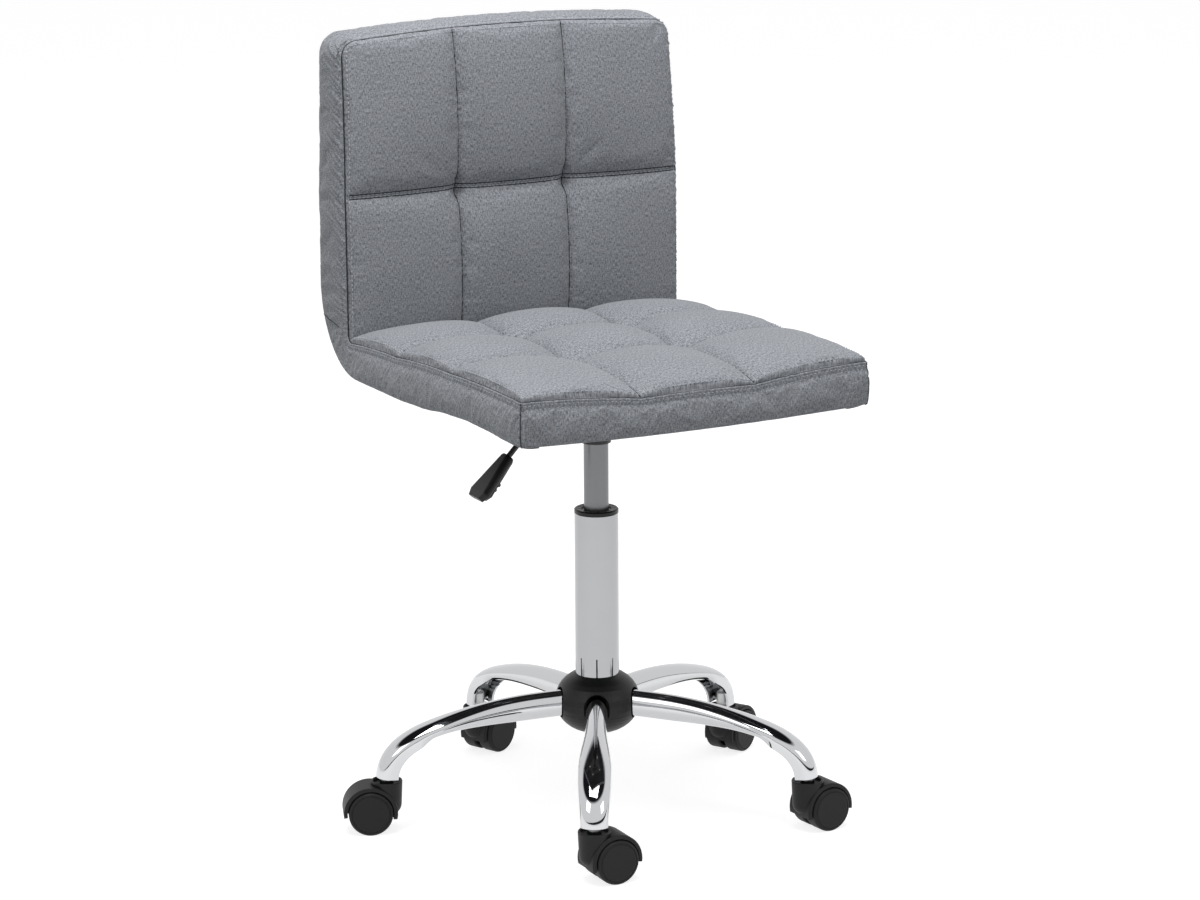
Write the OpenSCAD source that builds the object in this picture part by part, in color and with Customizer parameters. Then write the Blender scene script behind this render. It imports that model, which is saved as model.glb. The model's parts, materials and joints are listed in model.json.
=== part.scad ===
// Armless swivel chair: a quilted one-piece seat and back on a gas lift, over a
// five-legged tube base with twin-wheel casters.
// Millimetres, +Z up. The origin is on the floor, under the middle of the column.
// The seat faces -Y, so the sitter's right hand is on the -X side.

/* [Base] */
// Distance from the column's axis to each caster's stem
base_r = 249; // [215:1:300]
// Height of the hub's middle above the ends of the legs
base_rise = 66; // [60:0.5:85]
// How far the whole base is turned against the seat
base_turn = -28.5; // [-36:1:36]
// Width of a leg tube beside the hub
leg_w = 25; // [22:0.5:28]
// Height of a leg tube beside the hub
leg_h = 30.5; // [26:0.5:32]
// Width of a leg where it is pressed flat at the bend
knee_w = 36.5; // [32:0.5:42]
// Thickness of a leg at the bend
knee_h = 18.5; // [17:0.5:24]
// Width of a leg at its end
toe_w = 30.5; // [28:0.5:36]
// Depth of a leg at its end
toe_h = 22; // [20:0.5:28]
// Wall of the leg tube
leg_wall = 1.8; // [1.2:0.1:2.5]

/* [Hub] */
// Gap from the column tube out to the widest line of the hub covers
hub_reach = 23; // [20:0.5:32]
// Half of the height of the hub covers, before their flat ends
hub_half_h = 37; // [35:0.5:44]
// Wall of the hub covers
cover_wall = 2.5; // [2:0.1:4]
// Wall of the steel socket that carries the legs
socket_wall = 5; // [4:0.5:8]

/* [Column] */
// Outer diameter of the column tube
tube_d = 50; // [46:0.5:54]
// Wall of the column tube
tube_wall = 1.5; // [1.2:0.1:2.5]
// Length of the column tube
tube_len = 250; // [240:2:300]
// Number of slits round the foot of the column tube
slits = 8; // [4:1:12]
// Width of one slit
slit_w = 1.6; // [1:0.1:2.5]
// Height of the guide bush's lip above the tube
lip_h = 4.6; // [3:0.1:7]
// Length of the guide bush inside the tube
bush_len = 75; // [60:1:90]

/* [Gas lift] */
// Diameter of the gas cylinder
cylinder_d = 28; // [27:0.5:30]
// Wall of the gas cylinder
cylinder_wall = 1.6; // [1.2:0.1:2.2]
// Length of cylinder seen between the bush and the seat fitting
exposed = 76.4; // [74:0.2:90]
// How far the seat can still rise
stroke_up = 50; // [30:1:55]
// How far the seat can sink
stroke_down = 70; // [40:1:72]
// Diameter of the piston rod
rod_d = 10; // [8:0.5:12]

/* [Seat fitting] */
// Height of the fitting, from its socket's lower rim to the top of its plate
fitting_h = 64; // [60:0.5:75]
// Width of the fitting's plate
plate_w = 190; // [170:2:220]
// Depth of the fitting's plate
plate_l = 165; // [150:1:200]
// Thickness of the fitting's plate
plate_t = 3; // [2:0.5:4]
// Hole spacing of the plate across the seat
bolt_x = 150; // [130:1:160]
// Hole spacing of the plate along the seat
bolt_y = 125; // [110:1:135]
// Diameter of the plate's bolts
bolt_d = 8; // [6:1:8]

/* [Lever] */
// Diameter of the lever's rod
lever_d = 6.4; // [5:0.2:7]
// Distance from the column's axis out to the lever's bend
lever_reach = 51; // [46:1:75]
// Slope of the lever beyond its bend
lever_drop = 46; // [20:1:55]
// Length of rod seen between the bend and the grip
lever_len = 72; // [50:1:100]
// Length of the grip
grip_len = 59; // [50:1:80]
// Width of the grip at its tip
grip_w = 38; // [26:1:44]
// Thickness of the grip at its tip
grip_t = 15; // [12:0.5:18]
// Distance from the column's axis to the lever's pivot
pivot_x = 24; // [22:1:26]

/* [Seat and back] */
// Width over the side panels
seat_w = 426; // [400:2:520]
// Depth from the front panel to the face of the back
seat_depth = 448; // [430:2:500]
// Distance from the column's axis to the face of the back
back_y = 208; // [200:1:230]
// Height of the back's top seam above the seat's seam
back_h = 332; // [280:2:420]
// Thickness of the back, from its face seam to its rear
back_t = 64; // [56:1:80]
// Thickness of the side panels with their padding
panel_t = 8; // [5:0.5:12]
// Foam thickness over the seat shell at the seams
foam_t = 36; // [28:1:50]
// Rise of each quilted square above its seams on the seat
seat_rise = 9; // [4:0.5:14]
// Rise of each quilted square above its seams on the back
back_rise = 8; // [4:0.5:12]
// Distance from the middle to the quilting lines that run up the seat
quilt_x = 69; // [55:1:80]
// Thickness of the bent plywood shell
ply_t = 11; // [9:0.5:14]
// Inner radius of the shell's bend
bend_r = 88; // [80:1:110]
// Radius of the back's upper corners
corner_r = 26; // [12:1:40]
// How much wider each side is at the back than at the seat's front
flare = 5; // [0:1:12]
// How much each side of the back comes in again towards the top
top_taper = 6; // [0:1:12]
// How far the upper half of the back's face leans
back_lean = 12; // [0:1:20]
// Height of the back's cross seam above the junction of seat and back
back_split = 166; // [120:1:200]
// Places of the seat's cross seams, measured from the column's axis
quilt_places = [-67, 68];

/* [Casters] */
// Diameter of a caster's wheels
wheel_d = 50; // [45:1:60]
// Width of one wheel
wheel_w = 18; // [15:0.5:22]
// Thickness of the hood's web between the wheels
web_t = 7; // [7:0.5:10]
// Distance from the stem to the wheels' axle
trail = 19; // [17:0.5:24]
// Outer diameter of the hood's stem housing
housing_d = 36; // [32:0.5:40]
// Thickness of the hood's fender
fender_t = 4.3; // [2.5:0.1:5]
// Diameter of the stem in the leg's sleeve
stem_d = 11; // [10:0.5:12]
// Diameter of the wheels' axle
axle_d = 6; // [5:0.5:8]
// Direction in which each caster stands, measured from +X
caster_turns = [0, 6, 30, 24, 159];

/* [Fits] */
// Radial clearance of a part that turns or slides on another
run_gap = 0.05; // [0.02:0.01:0.08]
// Clearance between parts that only pass each other
free_gap = 0.5; // [0.4:0.1:1]

/* [Hidden] */

$fn = 64;

// --- Casters: heights from the floor up ---
wheel_r = wheel_d / 2;
hood_gap = 1.2;                                // room between wheel and fender
hood_r = wheel_r + hood_gap + fender_t;        // outer radius of the fender
hood_top = wheel_r + hood_r + 3.5;             // rim of the stem housing
pin_d = 8;                                     // stem's lower pin, which the hood turns on
collar_t = 2;                                  // stem's collar under the sleeve
leg_end_z = hood_top + free_gap + collar_t + 2;
sleeve_z = hood_top + free_gap + collar_t;     // lower end of a leg's sleeve
wheel_in = web_t / 2 + free_gap;               // inner face of a wheel, from the middle
wheel_out = wheel_in + wheel_w;                // outer face of a wheel

// --- Hub and column ---
hub_z = leg_end_z + base_rise;
tube_r = tube_d / 2;
hub_r = tube_r + hub_reach;
hub_power = 2.2;                               // above 2 the covers are fuller than an ellipse
hub_steps = 8;
core_r = tube_r + socket_wall;                 // flats of the socket, where the legs butt
core_half_h = leg_h / 2 + 3.5;                 // half height of the socket
clip_hole_r = rod_d / 2 + 6;                   // round opening under the lower cover
parting_z = hub_z - 11;
tube_z = hub_z - hub_height(tube_r, cover_wall) + 0.9;
tube_top = tube_z + tube_len;
taper_len = 70;                                // drawn-in foot of the column tube
taper_in = 1.2;                                // how much it is drawn in
foot_t = 4;
slit_top = hub_z + 54;
bush_top = tube_top + lip_h;

// --- Gas lift ---
cyl_r = cylinder_d / 2;
rod_r = rod_d / 2;
fitting_z = bush_top + exposed;                // lower rim of the seat fitting's socket
cone_len = 43;
cone_in = 0.7;
cone_top = fitting_z + cone_len;
guide_len = 20;                                // rod guide in the cylinder's lower end
cyl_z = fitting_z - 218;
bore_top = fitting_z + 7;
bearing_z = tube_z + foot_t;
washer_t = 1.5;
bearing_h = 6.5;
shoulder_z = bearing_z + bearing_h + 0.3;      // rod's shoulder over the thrust bearing
buffer_h = 18;
piston_z = cyl_z + guide_len + stroke_up + 5;
piston_h = 12;
clip_z = tube_z - 4;

// --- Valve and lever ---
button_r = 4;
button_up = 4.5;                               // how far the button stands out of the cone
button_travel = 3;
lever_r = lever_d / 2;
lever_z = cone_top + button_up + 0.3 + lever_r;
pivot_r = 3;
pivot_sleeve_r = 6.5;
lever_bend_r = 12;
box_x = 35;                                    // half widths of the fitting's pressed box
box_y = 26;
box_wall = 2.5;
box_z = fitting_z + 35;

// --- Seat heights ---
plate_z = fitting_z + fitting_h - plate_t;
cloth_t = 1;
ply_z = fitting_z + fitting_h + cloth_t;       // underside of the shell
ply_top = ply_z + ply_t;
seam_z = ply_top + foam_t;                     // seam round the top of the seat
junction_z = seam_z - 16;                      // where seat and back meet
top_z = seam_z + back_h;                       // seam round the top of the back
seat_y = back_y - seat_depth;                  // front face of the front panel
rear_y = back_y + back_t;
rear_t = 4;                                    // padded rear panel
ply_rear = rear_y - rear_t;                    // rear face of the shell
bend_out_r = bend_r + ply_t;
bend_y = ply_rear - bend_out_r;                // centre of the shell's bend
bend_z = ply_z + bend_out_r;
pad_x = seat_w / 2 - panel_t;                  // half width of the cushions
ply_x = pad_x - 7;
hem_z = ply_z - rear_t - 2;                    // lower edge of the panels
rear_slit = 32;                                // drop of the rear panel's edge round the bend
rear_panel_z = bend_z - rear_slit;
quilt_rows = concat([seat_y + panel_t], quilt_places, [back_y]);
split_z = junction_z + back_split;
back_rows = [junction_z, split_z, top_z];
fold_clear = 0.4;                              // keeps faceted foam off the round shell
foam_gap = 0.1;                                // foam stops just short of the band round it

function leg_turn(i) = base_turn + 360 / 5 * (i - 1);
function smooth(t) = let (u = min(max(t, 0), 1)) u * u * (3 - 2 * u);
function mix(a, b, t) = a + (b - a) * t;

// Closed solid through a list of rings with the same number of points. The first ring is
// round or a box; the last is too, unless its cap is given as a list of faces.
module loft(rings, last_cap = []) {
    n = len(rings[0]);
    m = len(rings);
    base = (m - 1) * n;
    polyhedron(
        points = [for (ring = rings) for (p = ring) p],
        faces = concat(
            [concat([0], [for (j = [n - 1:-1:1]) j])],
            [for (i = [0:m - 2]) for (j = [0:n - 1])
                [i * n + j, i * n + (j + 1) % n, (i + 1) * n + (j + 1) % n]],
            [for (i = [0:m - 2]) for (j = [0:n - 1])
                [i * n + j, (i + 1) * n + (j + 1) % n, (i + 1) * n + j]],
            len(last_cap) > 0 ? [for (f = last_cap) [for (j = f) base + j]]
                : [[for (j = [0:n - 1]) base + j]]
        )
    );
}

module rounded_rect(size, r) {
    square([size.x - 2 * r, size.y], center = true);
    square([size.x, size.y - 2 * r], center = true);
    for (x = [-1, 1], y = [-1, 1])
        translate([x * (size.x / 2 - r), y * (size.y / 2 - r)]) circle(r);
}

// ---------------------------------------------------------------- hub
// The covers follow a superellipse: its height over a radius, and points along it between
// two heights. The inset gives the inside of the wall.
function hub_height(r, in = 0) =
    (hub_half_h - in) * pow(1 - pow(r / (hub_r - in), hub_power), 1 / hub_power);
function signed_pow(x, e) = sign(x) * pow(abs(x), e);
function hub_points(h0, h1, in = 0) = let (
    a0 = asin(signed_pow(h0 / (hub_half_h - in), hub_power / 2)),
    a1 = asin(signed_pow(h1 / (hub_half_h - in), hub_power / 2)))
    [for (k = [0:hub_steps]) let (a = mix(a0, a1, k / hub_steps)) [(hub_r - in)
        * pow(cos(a), 2 / hub_power), (hub_half_h - in) * signed_pow(sin(a), 2 / hub_power)]];

// Arched openings that the legs pass through.
module leg_openings() {
    r = leg_w / 2 + 2;
    reach = leg_h / 2 + 2.5 - r;
    for (i = [1:5]) rotate([0, 0, leg_turn(i)]) translate([0, 0, hub_z + 0.5])
        rotate([90, 0, 0]) linear_extrude(2 * hub_r) polygon(concat(
            [for (a = [0:15:180]) [r * cos(a), reach + r * sin(a)]],
            [for (a = [180:15:360]) [r * cos(a), -reach + r * sin(a)]]));
}

// Half of the cover's shell in section. Its collar fits the column and seats on the socket.
module hub_cover(dir, start, rim) {
    fit = tube_r + run_gap;
    collar = tube_r + 4;
    difference() {
        rotate_extrude() polygon([for (p = concat(
            hub_points(start, hub_height(rim.x)), rim.y > 0 ? [rim] : [],
            [for (r = rim.y > 0 ? [] : [rim.x, mix(rim.x, fit, 0.5), fit])
                [r, hub_height(r, cover_wall)]],
            [[fit, core_half_h], [collar, core_half_h]],
            hub_points(hub_height(collar, cover_wall), start, cover_wall)
        )) [p.x, hub_z + dir * p.y]]);
        leg_openings();
    }
}

module hub_cover_upper() {
    color("#1f1f20") hub_cover(1, parting_z - hub_z, [tube_r + run_gap, hub_height(tube_r + 1.6)]);
}

module hub_cover_lower() {
    color("#1c1c1d") hub_cover(-1, hub_z - parting_z + 0.2, [clip_hole_r, 0]);
}

// Radius of the column's drawn-in foot, shared by the tube and its socket.
function foot_r(z) = tube_r - taper_in * min(max((tube_z + taper_len - z) / taper_len, 0), 1);

module hub_socket() {
    z0 = hub_z - core_half_h;
    z1 = hub_z + core_half_h;
    color("#3a3c3e") rotate([0, 0, leg_turn(1) - 90 + 36]) difference() {
        translate([0, 0, z0]) cylinder(r = core_r / cos(36), h = z1 - z0, $fn = 5);
        rotate_extrude() polygon([[0, z0 - 1], [foot_r(z0), z0 - 1], [foot_r(z0), z0],
                                  [foot_r(z1), tube_z + taper_len > z1 ? z1 : tube_z + taper_len],
                                  [foot_r(z1), z1 + 1], [0, z1 + 1]]);
    }
}

// ---------------------------------------------------------------- legs
weld_gap = 0.35;                               // the tube's end is square to its bent path
leg_start = core_r + weld_gap;
leg_path = [[leg_start, hub_z + 0.5], [150, hub_z - 2], [base_r - 3, hub_z - 10],
            [base_r + 0.6, leg_end_z]];
leg_rings = 19;
shoe_wall = 2.9;                               // doubled wall of the pressed end

function bezier(p, t) = pow(1 - t, 3) * p[0] + 3 * t * pow(1 - t, 2) * p[1]
    + 3 * t * t * (1 - t) * p[2] + pow(t, 3) * p[3];
function bezier_dir(p, t) = let (
    d = pow(1 - t, 2) * (p[1] - p[0]) + 2 * t * (1 - t) * (p[2] - p[1])
        + t * t * (p[3] - p[2])) d / norm(d);

function width_at(t) = t < 0.62 ? mix(leg_w, knee_w, smooth((t - 0.22) / 0.38))
    : mix(knee_w, toe_w, smooth((t - 0.64) / 0.36));
function height_at(t) = t < 0.62 ? mix(leg_h, knee_h, smooth((t - 0.12) / 0.46))
    : mix(knee_h, toe_h, smooth((t - 0.66) / 0.34));

// Round tube: fifteen points over the top and five below.
function tube_section(w, h) = concat(
    [for (i = [0:12]) let (a = -35 + 250 * i / 12) [w / 2 * cos(a), h / 2 * sin(a)]],
    [for (i = [1:7]) let (a = 215 + 110 * i / 8) [w / 2 * cos(a), h / 2 * sin(a)]]);

// Channel: the same points, with the lower wall pressed up against the upper one.
function shoe_section(w, h, t) = let (wi = w / 2 - t, hi = h - t) concat(
    [[w / 2, -h / 2], [w / 2, -h * 0.2]],
    [for (i = [0:8]) let (a = 180 * i / 8) [w / 2 * cos(a), h * 0.55 * sin(a) - h * 0.05]],
    [[-w / 2, -h * 0.2], [-w / 2, -h / 2]],
    [for (i = [0:6]) let (a = 180 - 30 * i, low = i == 0 || i == 6)
        [wi * cos(a), low ? -h / 2 : (h * 0.55 - t) * sin(a) - h * 0.05]]);

function section_at(t) = let (
    w = width_at(t), h = height_at(t), c = smooth((t - 0.55) / 0.12),
    a = tube_section(w, h), b = shoe_section(w, h, shoe_wall))
    [for (i = [0:len(a) - 1]) mix(a[i], b[i], c)];

// Places a flat section across the leg's path; the leg runs along -Y.
function across(section, t) = let (
    c = bezier(leg_path, t), d = bezier_dir(leg_path, t), up = [-d.y, d.x])
    [for (s = section) [s.x, -(c.x + up.x * s.y), c.y + up.y * s.y]];

function spread(i) = let (u = i / leg_rings) u < 0.3 ? u * 0.32 / 0.3 : mix(0.32, 1, (u - 0.3) / 0.7);

// The same points as the tube's, one wall further in.
function bore_at(t) = let (c = smooth((t - 0.4) / 0.14))
    [for (p = tube_section(width_at(t) - 2 * leg_wall, height_at(t) - 2 * leg_wall - 4 * c))
        [p.x, p.y + c]];

// The pressed end's cap: strips between the channel's outer and inner edges.
shoe_cap = [for (k = [0:5]) each [[2 * k, 2 * k + 1, 19 - k], [2 * k + 1, 18 - k, 19 - k],
                                  [2 * k + 1, 2 * k + 2, 18 - k]]];

// One surface: out of the bore from its blind end, over the tube's rim and on to the toe.
module leg(i) {
    bore_end = 0.53;
    color("#d8dadd") rotate([0, 0, leg_turn(i)]) loft(concat(
        [for (k = [4:-1:0]) across(bore_at(bore_end * k / 4), bore_end * k / 4)],
        [for (k = [0:leg_rings]) across(section_at(spread(k)), spread(k))]), shoe_cap);
}

// ---------------------------------------------------------------- caster sleeves and stems
sleeve_r = stem_d / 2 + 2.2;
sleeve_h = 15.5;

module at_caster(i) {
    rotate([0, 0, leg_turn(i)]) translate([0, -base_r, 0]) children();
}

module caster_sleeve() {
    difference() {
        union() {
            translate([0, 0, sleeve_z]) cylinder(r = sleeve_r, h = sleeve_h - 2);
            translate([0, 0, sleeve_z + sleeve_h - 2])
                cylinder(r1 = sleeve_r, r2 = sleeve_r - 2, h = 2);
            translate([0, 0, sleeve_z + sleeve_h - 0.5]) cylinder(r = 4, h = 2, $fn = 6);
        }
        translate([0, 0, sleeve_z - 1]) cylinder(r = stem_d / 2, h = sleeve_h - 2);
        translate([0, -sleeve_r, sleeve_z + 4.5]) rotate([-14, 0, 0])
            translate([-20, -40, -4]) cube([40, 40, 30]);
    }
}

module caster_sockets() {
    color("#b9bbbe") for (i = [1:5]) at_caster(i) caster_sleeve();
}

module caster_stem(i) {
    r = stem_d / 2;
    color("#9a9c9f") at_caster(i) rotate_extrude() polygon([
        [0, hood_top - 14.5], [pin_d / 2 - 1, hood_top - 14.5], [pin_d / 2, hood_top - 13.5],
        [pin_d / 2, hood_top + free_gap], [r + 2, hood_top + free_gap], [r + 2, sleeve_z],
        [r - run_gap, sleeve_z], [r - run_gap, sleeve_z + 6], [r - 0.8, sleeve_z + 7],
        [r - 0.8, sleeve_z + 9], [r - run_gap, sleeve_z + 10],
        [r - run_gap, sleeve_z + sleeve_h - 5], [r - 2, sleeve_z + sleeve_h - 3.2],
        [0, sleeve_z + sleeve_h - 3.2]]);
}

// ---------------------------------------------------------------- casters
// Each caster is drawn with its stem on Z and its wheels towards +X, then turned.
module caster_place(i) {
    at_caster(i) rotate([0, 0, caster_turns[i - 1] - leg_turn(i)]) children();
}

// Turns a shape drawn round Z so that it lies round the axle.
module on_axle() {
    translate([trail, 0, wheel_r]) rotate([-90, 0, 0]) children();
}

module fender_section() {
    half = wheel_out - 3;
    edge = 1.6;
    translate([0, -half + edge]) square([hood_r, 2 * (half - edge)]);
    translate([0, -half]) square([hood_r - edge, 2 * half]);
    for (s = [-1, 1]) translate([hood_r - edge, s * (half - edge)]) circle(edge);
}

module stem_housing() {
    r = housing_d / 2;
    low = 19;
    round_r = 12;
    rotate_extrude() polygon(concat(
        [[0, low], [r - 1.2 - round_r, low]],
        [for (a = [-75:15:0]) [r - 1.2 - round_r + round_r * cos(a), low + round_r + round_r * sin(a)]],
        [[r, hood_top - 1.5], [r - 0.4, hood_top - 0.4], [r - 1.5, hood_top],
         [r - 2.6, hood_top - 0.4], [r - 3.2, hood_top - 3.5], [pin_d / 2 + 4.5, hood_top - 3.5],
         [pin_d / 2 + 4, hood_top], [0, hood_top]]));
}

module caster_hood(i) {
    web_low = wheel_r * 0.72;
    color("#262627") caster_place(i) difference() {
        union() {
            difference() {
                on_axle() rotate_extrude() fender_section();
                translate([trail - 2 * hood_r, -2 * hood_r, -hood_r])
                    cube([4 * hood_r, 4 * hood_r, hood_r + web_low]);
                translate([trail + hood_r * 0.2, -2 * hood_r, -hood_r])
                    rotate([0, 8, 0]) cube([4 * hood_r, 4 * hood_r, hood_r + wheel_r - 1]);
            }
            stem_housing();
        }
        on_axle() for (s = [-1, 1]) translate([0, 0, s * (web_t / 2 + 2 * hood_r)])
            cylinder(r = wheel_r + hood_gap, h = 4 * hood_r, center = true);
        on_axle() cylinder(r = axle_d / 2, h = web_t + 2, center = true);
        translate([0, 0, hood_top - 15]) cylinder(r = pin_d / 2 + run_gap, h = 20);
        difference() {
            translate([0, 0, hood_top - 3.5]) cylinder(r = housing_d / 2 - 3.2, h = 20);
            translate([0, 0, hood_top - 5]) cylinder(r = pin_d / 2 + 4, h = 25);
        }
    }
}

module caster_axle(i) {
    color("#8d8f92") caster_place(i) on_axle()
        cylinder(r = axle_d / 2, h = 2 * (wheel_out - 3.5), center = true);
}

// One wheel: a cup with a rounded tread, a stepped outer face and a hub on the axle.
module wheel(i, side) {
    r = wheel_r;
    w0 = wheel_in;
    w1 = wheel_out;
    rim = 2.8;
    color("#1b1b1c") caster_place(i) on_axle() mirror([0, 0, side < 0 ? 1 : 0])
        rotate_extrude($fn = 96) polygon(concat(
            [[axle_d / 2 + run_gap, w0 + 0.3], [axle_d / 2 + 3.5, w0 + 0.3],
             [axle_d / 2 + 3.5, w1 - 5], [r - 6.5, w1 - 5], [r - 3, w1 - 8], [r - 3, w0],
             [r - 1, w0], [r - 0.3, w0 + 0.4], [r, w0 + 1.4]],
            [for (a = [0:15:90]) [r - rim + rim * cos(a), w1 - rim - 0.4 + rim * sin(a)]],
            [[r - rim - 0.5, w1 - 0.9], [r - rim - 1.1, w1 - 0.9], [r - rim - 1.7, w1 - 0.3],
             [r - rim - 2.6, w1], [2, w1], [0, w1], [0, w1 - 3], [axle_d / 2 + run_gap, w1 - 3]]));
}

// ---------------------------------------------------------------- column
module column_tube() {
    inner = tube_r - tube_wall;
    color("#d4d6d9") difference() {
        rotate_extrude() polygon([
            [rod_r - 0.7, tube_z], [foot_r(tube_z), tube_z], [tube_r, tube_z + taper_len],
            [tube_r, tube_top - 0.6], [tube_r - 0.6, tube_top], [inner, tube_top],
            [inner, tube_z + taper_len], [foot_r(tube_z) - tube_wall, tube_z + foot_t],
            [rod_r - 0.7, tube_z + foot_t]]);
        for (k = [0:slits - 1]) rotate([0, 0, leg_turn(1) - 90 + 360 * k / slits])
            translate([tube_r - 6, -slit_w / 2, tube_z + foot_t + 1])
                cube([10, slit_w, slit_top - tube_z - foot_t - 1]);
    }
}

module guide_bush() {
    inner = cyl_r + run_gap;
    outer = tube_r - tube_wall;
    teeth = 16;
    color("#161617") difference() {
        rotate_extrude() polygon([
            [inner, tube_top - bush_len], [outer, tube_top - bush_len], [outer, tube_top],
            [tube_r, tube_top], [tube_r, tube_top + lip_h - 1.2], [tube_r - 1, tube_top + lip_h - 0.3],
            [tube_r - 2, tube_top + lip_h], [cyl_r + 3.2, tube_top + lip_h - 0.6],
            [cyl_r + 2.6, tube_top + lip_h - 2], [inner, tube_top + lip_h - 2]]);
        for (k = [0:teeth - 1]) rotate([0, 0, 360 * k / teeth])
            translate([cyl_r + 3.6, -0.8, tube_top + lip_h - 1.6]) cube([tube_r - cyl_r - 6.4, 1.6, 5]);
    }
}

module thrust_bearing() {
    inner = rod_r - 1 + 0.15;
    outer = inner + 9;
    top = bearing_z + bearing_h;
    color("#a5a7aa") rotate_extrude() polygon([
        [inner, bearing_z], [outer, bearing_z], [outer, bearing_z + washer_t],
        [outer - 1.5, bearing_z + washer_t], [outer - 1.5, top - washer_t], [outer, top - washer_t],
        [outer, top], [inner, top]]);
}

module buffer() {
    z = bearing_z + bearing_h;
    inner = rod_r + free_gap;
    outer = inner + 6;
    color("#2a2a2b") rotate_extrude() polygon([
        [inner, z], [outer + 1, z], [outer + 1, z + 3], [outer - 1, z + 5], [outer + 1, z + 8],
        [outer - 1, z + 11], [outer + 1, z + 14], [outer - 1, z + buffer_h], [inner, z + buffer_h]]);
}

module retaining_clip() {
    color("#8a8c8f") translate([0, 0, clip_z]) difference() {
        cylinder(r = rod_r + 1.5, h = 1);
        translate([0, 0, -1]) cylinder(r = rod_r - 1.7, h = 3);
        translate([0, -1.5, -1]) cube([20, 3, 3]);
    }
}

module piston_rod() {
    spigot = rod_r - 1;
    color("#c9cbce") rotate_extrude() polygon([
        [0, clip_z - 2.5], [spigot - 0.8, clip_z - 2.5], [spigot, clip_z - 1.7], [spigot, clip_z],
        [rod_r - 1.7, clip_z], [rod_r - 1.7, clip_z + 1], [spigot, clip_z + 1],
        [spigot, shoulder_z], [rod_r, shoulder_z], [rod_r, piston_z + 2], [rod_r - 1.5, piston_z + 2],
        [rod_r - 1.5, piston_z + piston_h], [0, piston_z + piston_h]]);
}

module piston() {
    outer = cyl_r - cylinder_wall - run_gap;
    color("#6f7174") rotate_extrude() polygon([
        [rod_r - 1.5, piston_z + 2], [outer, piston_z + 2], [outer, piston_z + 5],
        [outer - 1.5, piston_z + 5], [outer - 1.5, piston_z + 8], [outer, piston_z + 8],
        [outer, piston_z + piston_h], [rod_r - 1.5, piston_z + piston_h]]);
}

// Radius of the cylinder's upper cone, shared by the cylinder and the seat fitting.
function cone_r(z) = cyl_r - cone_in * min(max((z - fitting_z) / cone_len, 0), 1);

module gas_cylinder() {
    inner = cyl_r - cylinder_wall;
    color("#8f9194") rotate_extrude() polygon([
        [rod_r + run_gap, cyl_z], [cyl_r - 1, cyl_z], [cyl_r, cyl_z + 1], [cyl_r, fitting_z],
        [cone_r(cone_top), cone_top], [button_r + run_gap, cone_top],
        [button_r + run_gap, cone_top - 10], [0, cone_top - 10], [0, bore_top], [inner, bore_top],
        [inner, cyl_z + guide_len], [rod_r + run_gap, cyl_z + guide_len]]);
}

module valve_button() {
    color("#c2533a") rotate_extrude() polygon([
        [0, cone_top - 5.5], [button_r, cone_top - 5.5], [button_r, cone_top + button_up - 1],
        [button_r - 1, cone_top + button_up], [0, cone_top + button_up]]);
}

// ---------------------------------------------------------------- seat fitting and lever
module at_bolts() {
    for (x = [-1, 1], y = [-1, 1]) translate([x * bolt_x / 2, y * bolt_y / 2, 0]) children();
}

module seat_fitting() {
    box_h = plate_z - box_z;
    color("#232324") difference() {
        union() {
            translate([0, 0, plate_z]) linear_extrude(plate_t) rounded_rect([plate_w, plate_l], 14);
            for (s = [-1, 1]) translate([s * (plate_w / 2 - 13), 0, plate_z - 6])
                translate([-1.25, -plate_l / 2 + 26, 0]) cube([2.5, plate_l - 52, 7]);
            difference() {
                translate([-box_x, -box_y, box_z]) cube([2 * box_x, 2 * box_y, box_h + 1]);
                translate([-box_x + box_wall, -box_y + box_wall, box_z + box_wall])
                    cube([2 * (box_x - box_wall), 2 * (box_y - box_wall), box_h + 2]);
            }
            translate([0, 0, fitting_z]) cylinder(r = cyl_r + 3, h = cone_len - 2);
            translate([0, 0, box_z - 6]) cylinder(r1 = cyl_r + 3, r2 = cyl_r + 9, h = 6.5);
        }
        rotate_extrude() polygon([
            [0, fitting_z - 1], [cyl_r, fitting_z - 1], [cyl_r, fitting_z],
            [cone_r(cone_top), cone_top], [cone_r(cone_top), plate_z - 4], [0, plate_z - 4]]);
        translate([-box_x - 5, -lever_r - 1, lever_z - lever_r - 3])
            cube([5 + box_wall + 1, 2 * lever_r + 2, 2 * lever_r + 8]);
        translate([-pivot_x, 0, lever_z]) rotate([90, 0, 0])
            cylinder(r = pivot_r, h = 2 * box_y + 10, center = true);
        at_bolts() translate([0, 0, plate_z - 1]) cylinder(r = bolt_d / 2 + 0.3, h = plate_t + 2);
    }
}

module lever_pivot() {
    color("#8a8c8f") translate([-pivot_x, 0, lever_z]) rotate([90, 0, 0]) {
        cylinder(r = pivot_r, h = 2 * box_y + 3, center = true);
        for (s = [-1, 1]) translate([0, 0, s * (box_y + 1.25)])
            cylinder(r = pivot_r + 1.5, h = 2.5, center = true);
    }
}

module plate_bolts() {
    head = bolt_d * 0.65;
    top = ply_top - 1.8;
    color("#77797c") at_bolts() {
        translate([0, 0, plate_z - 1.6]) cylinder(r = bolt_d * 1.05, h = 1.6);
        translate([0, 0, plate_z - 1.6 - head]) cylinder(r = bolt_d * 0.8, h = head, $fn = 6);
        translate([0, 0, plate_z - 2]) cylinder(r = bolt_d / 2, h = top - plate_z + 2);
    }
}

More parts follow.
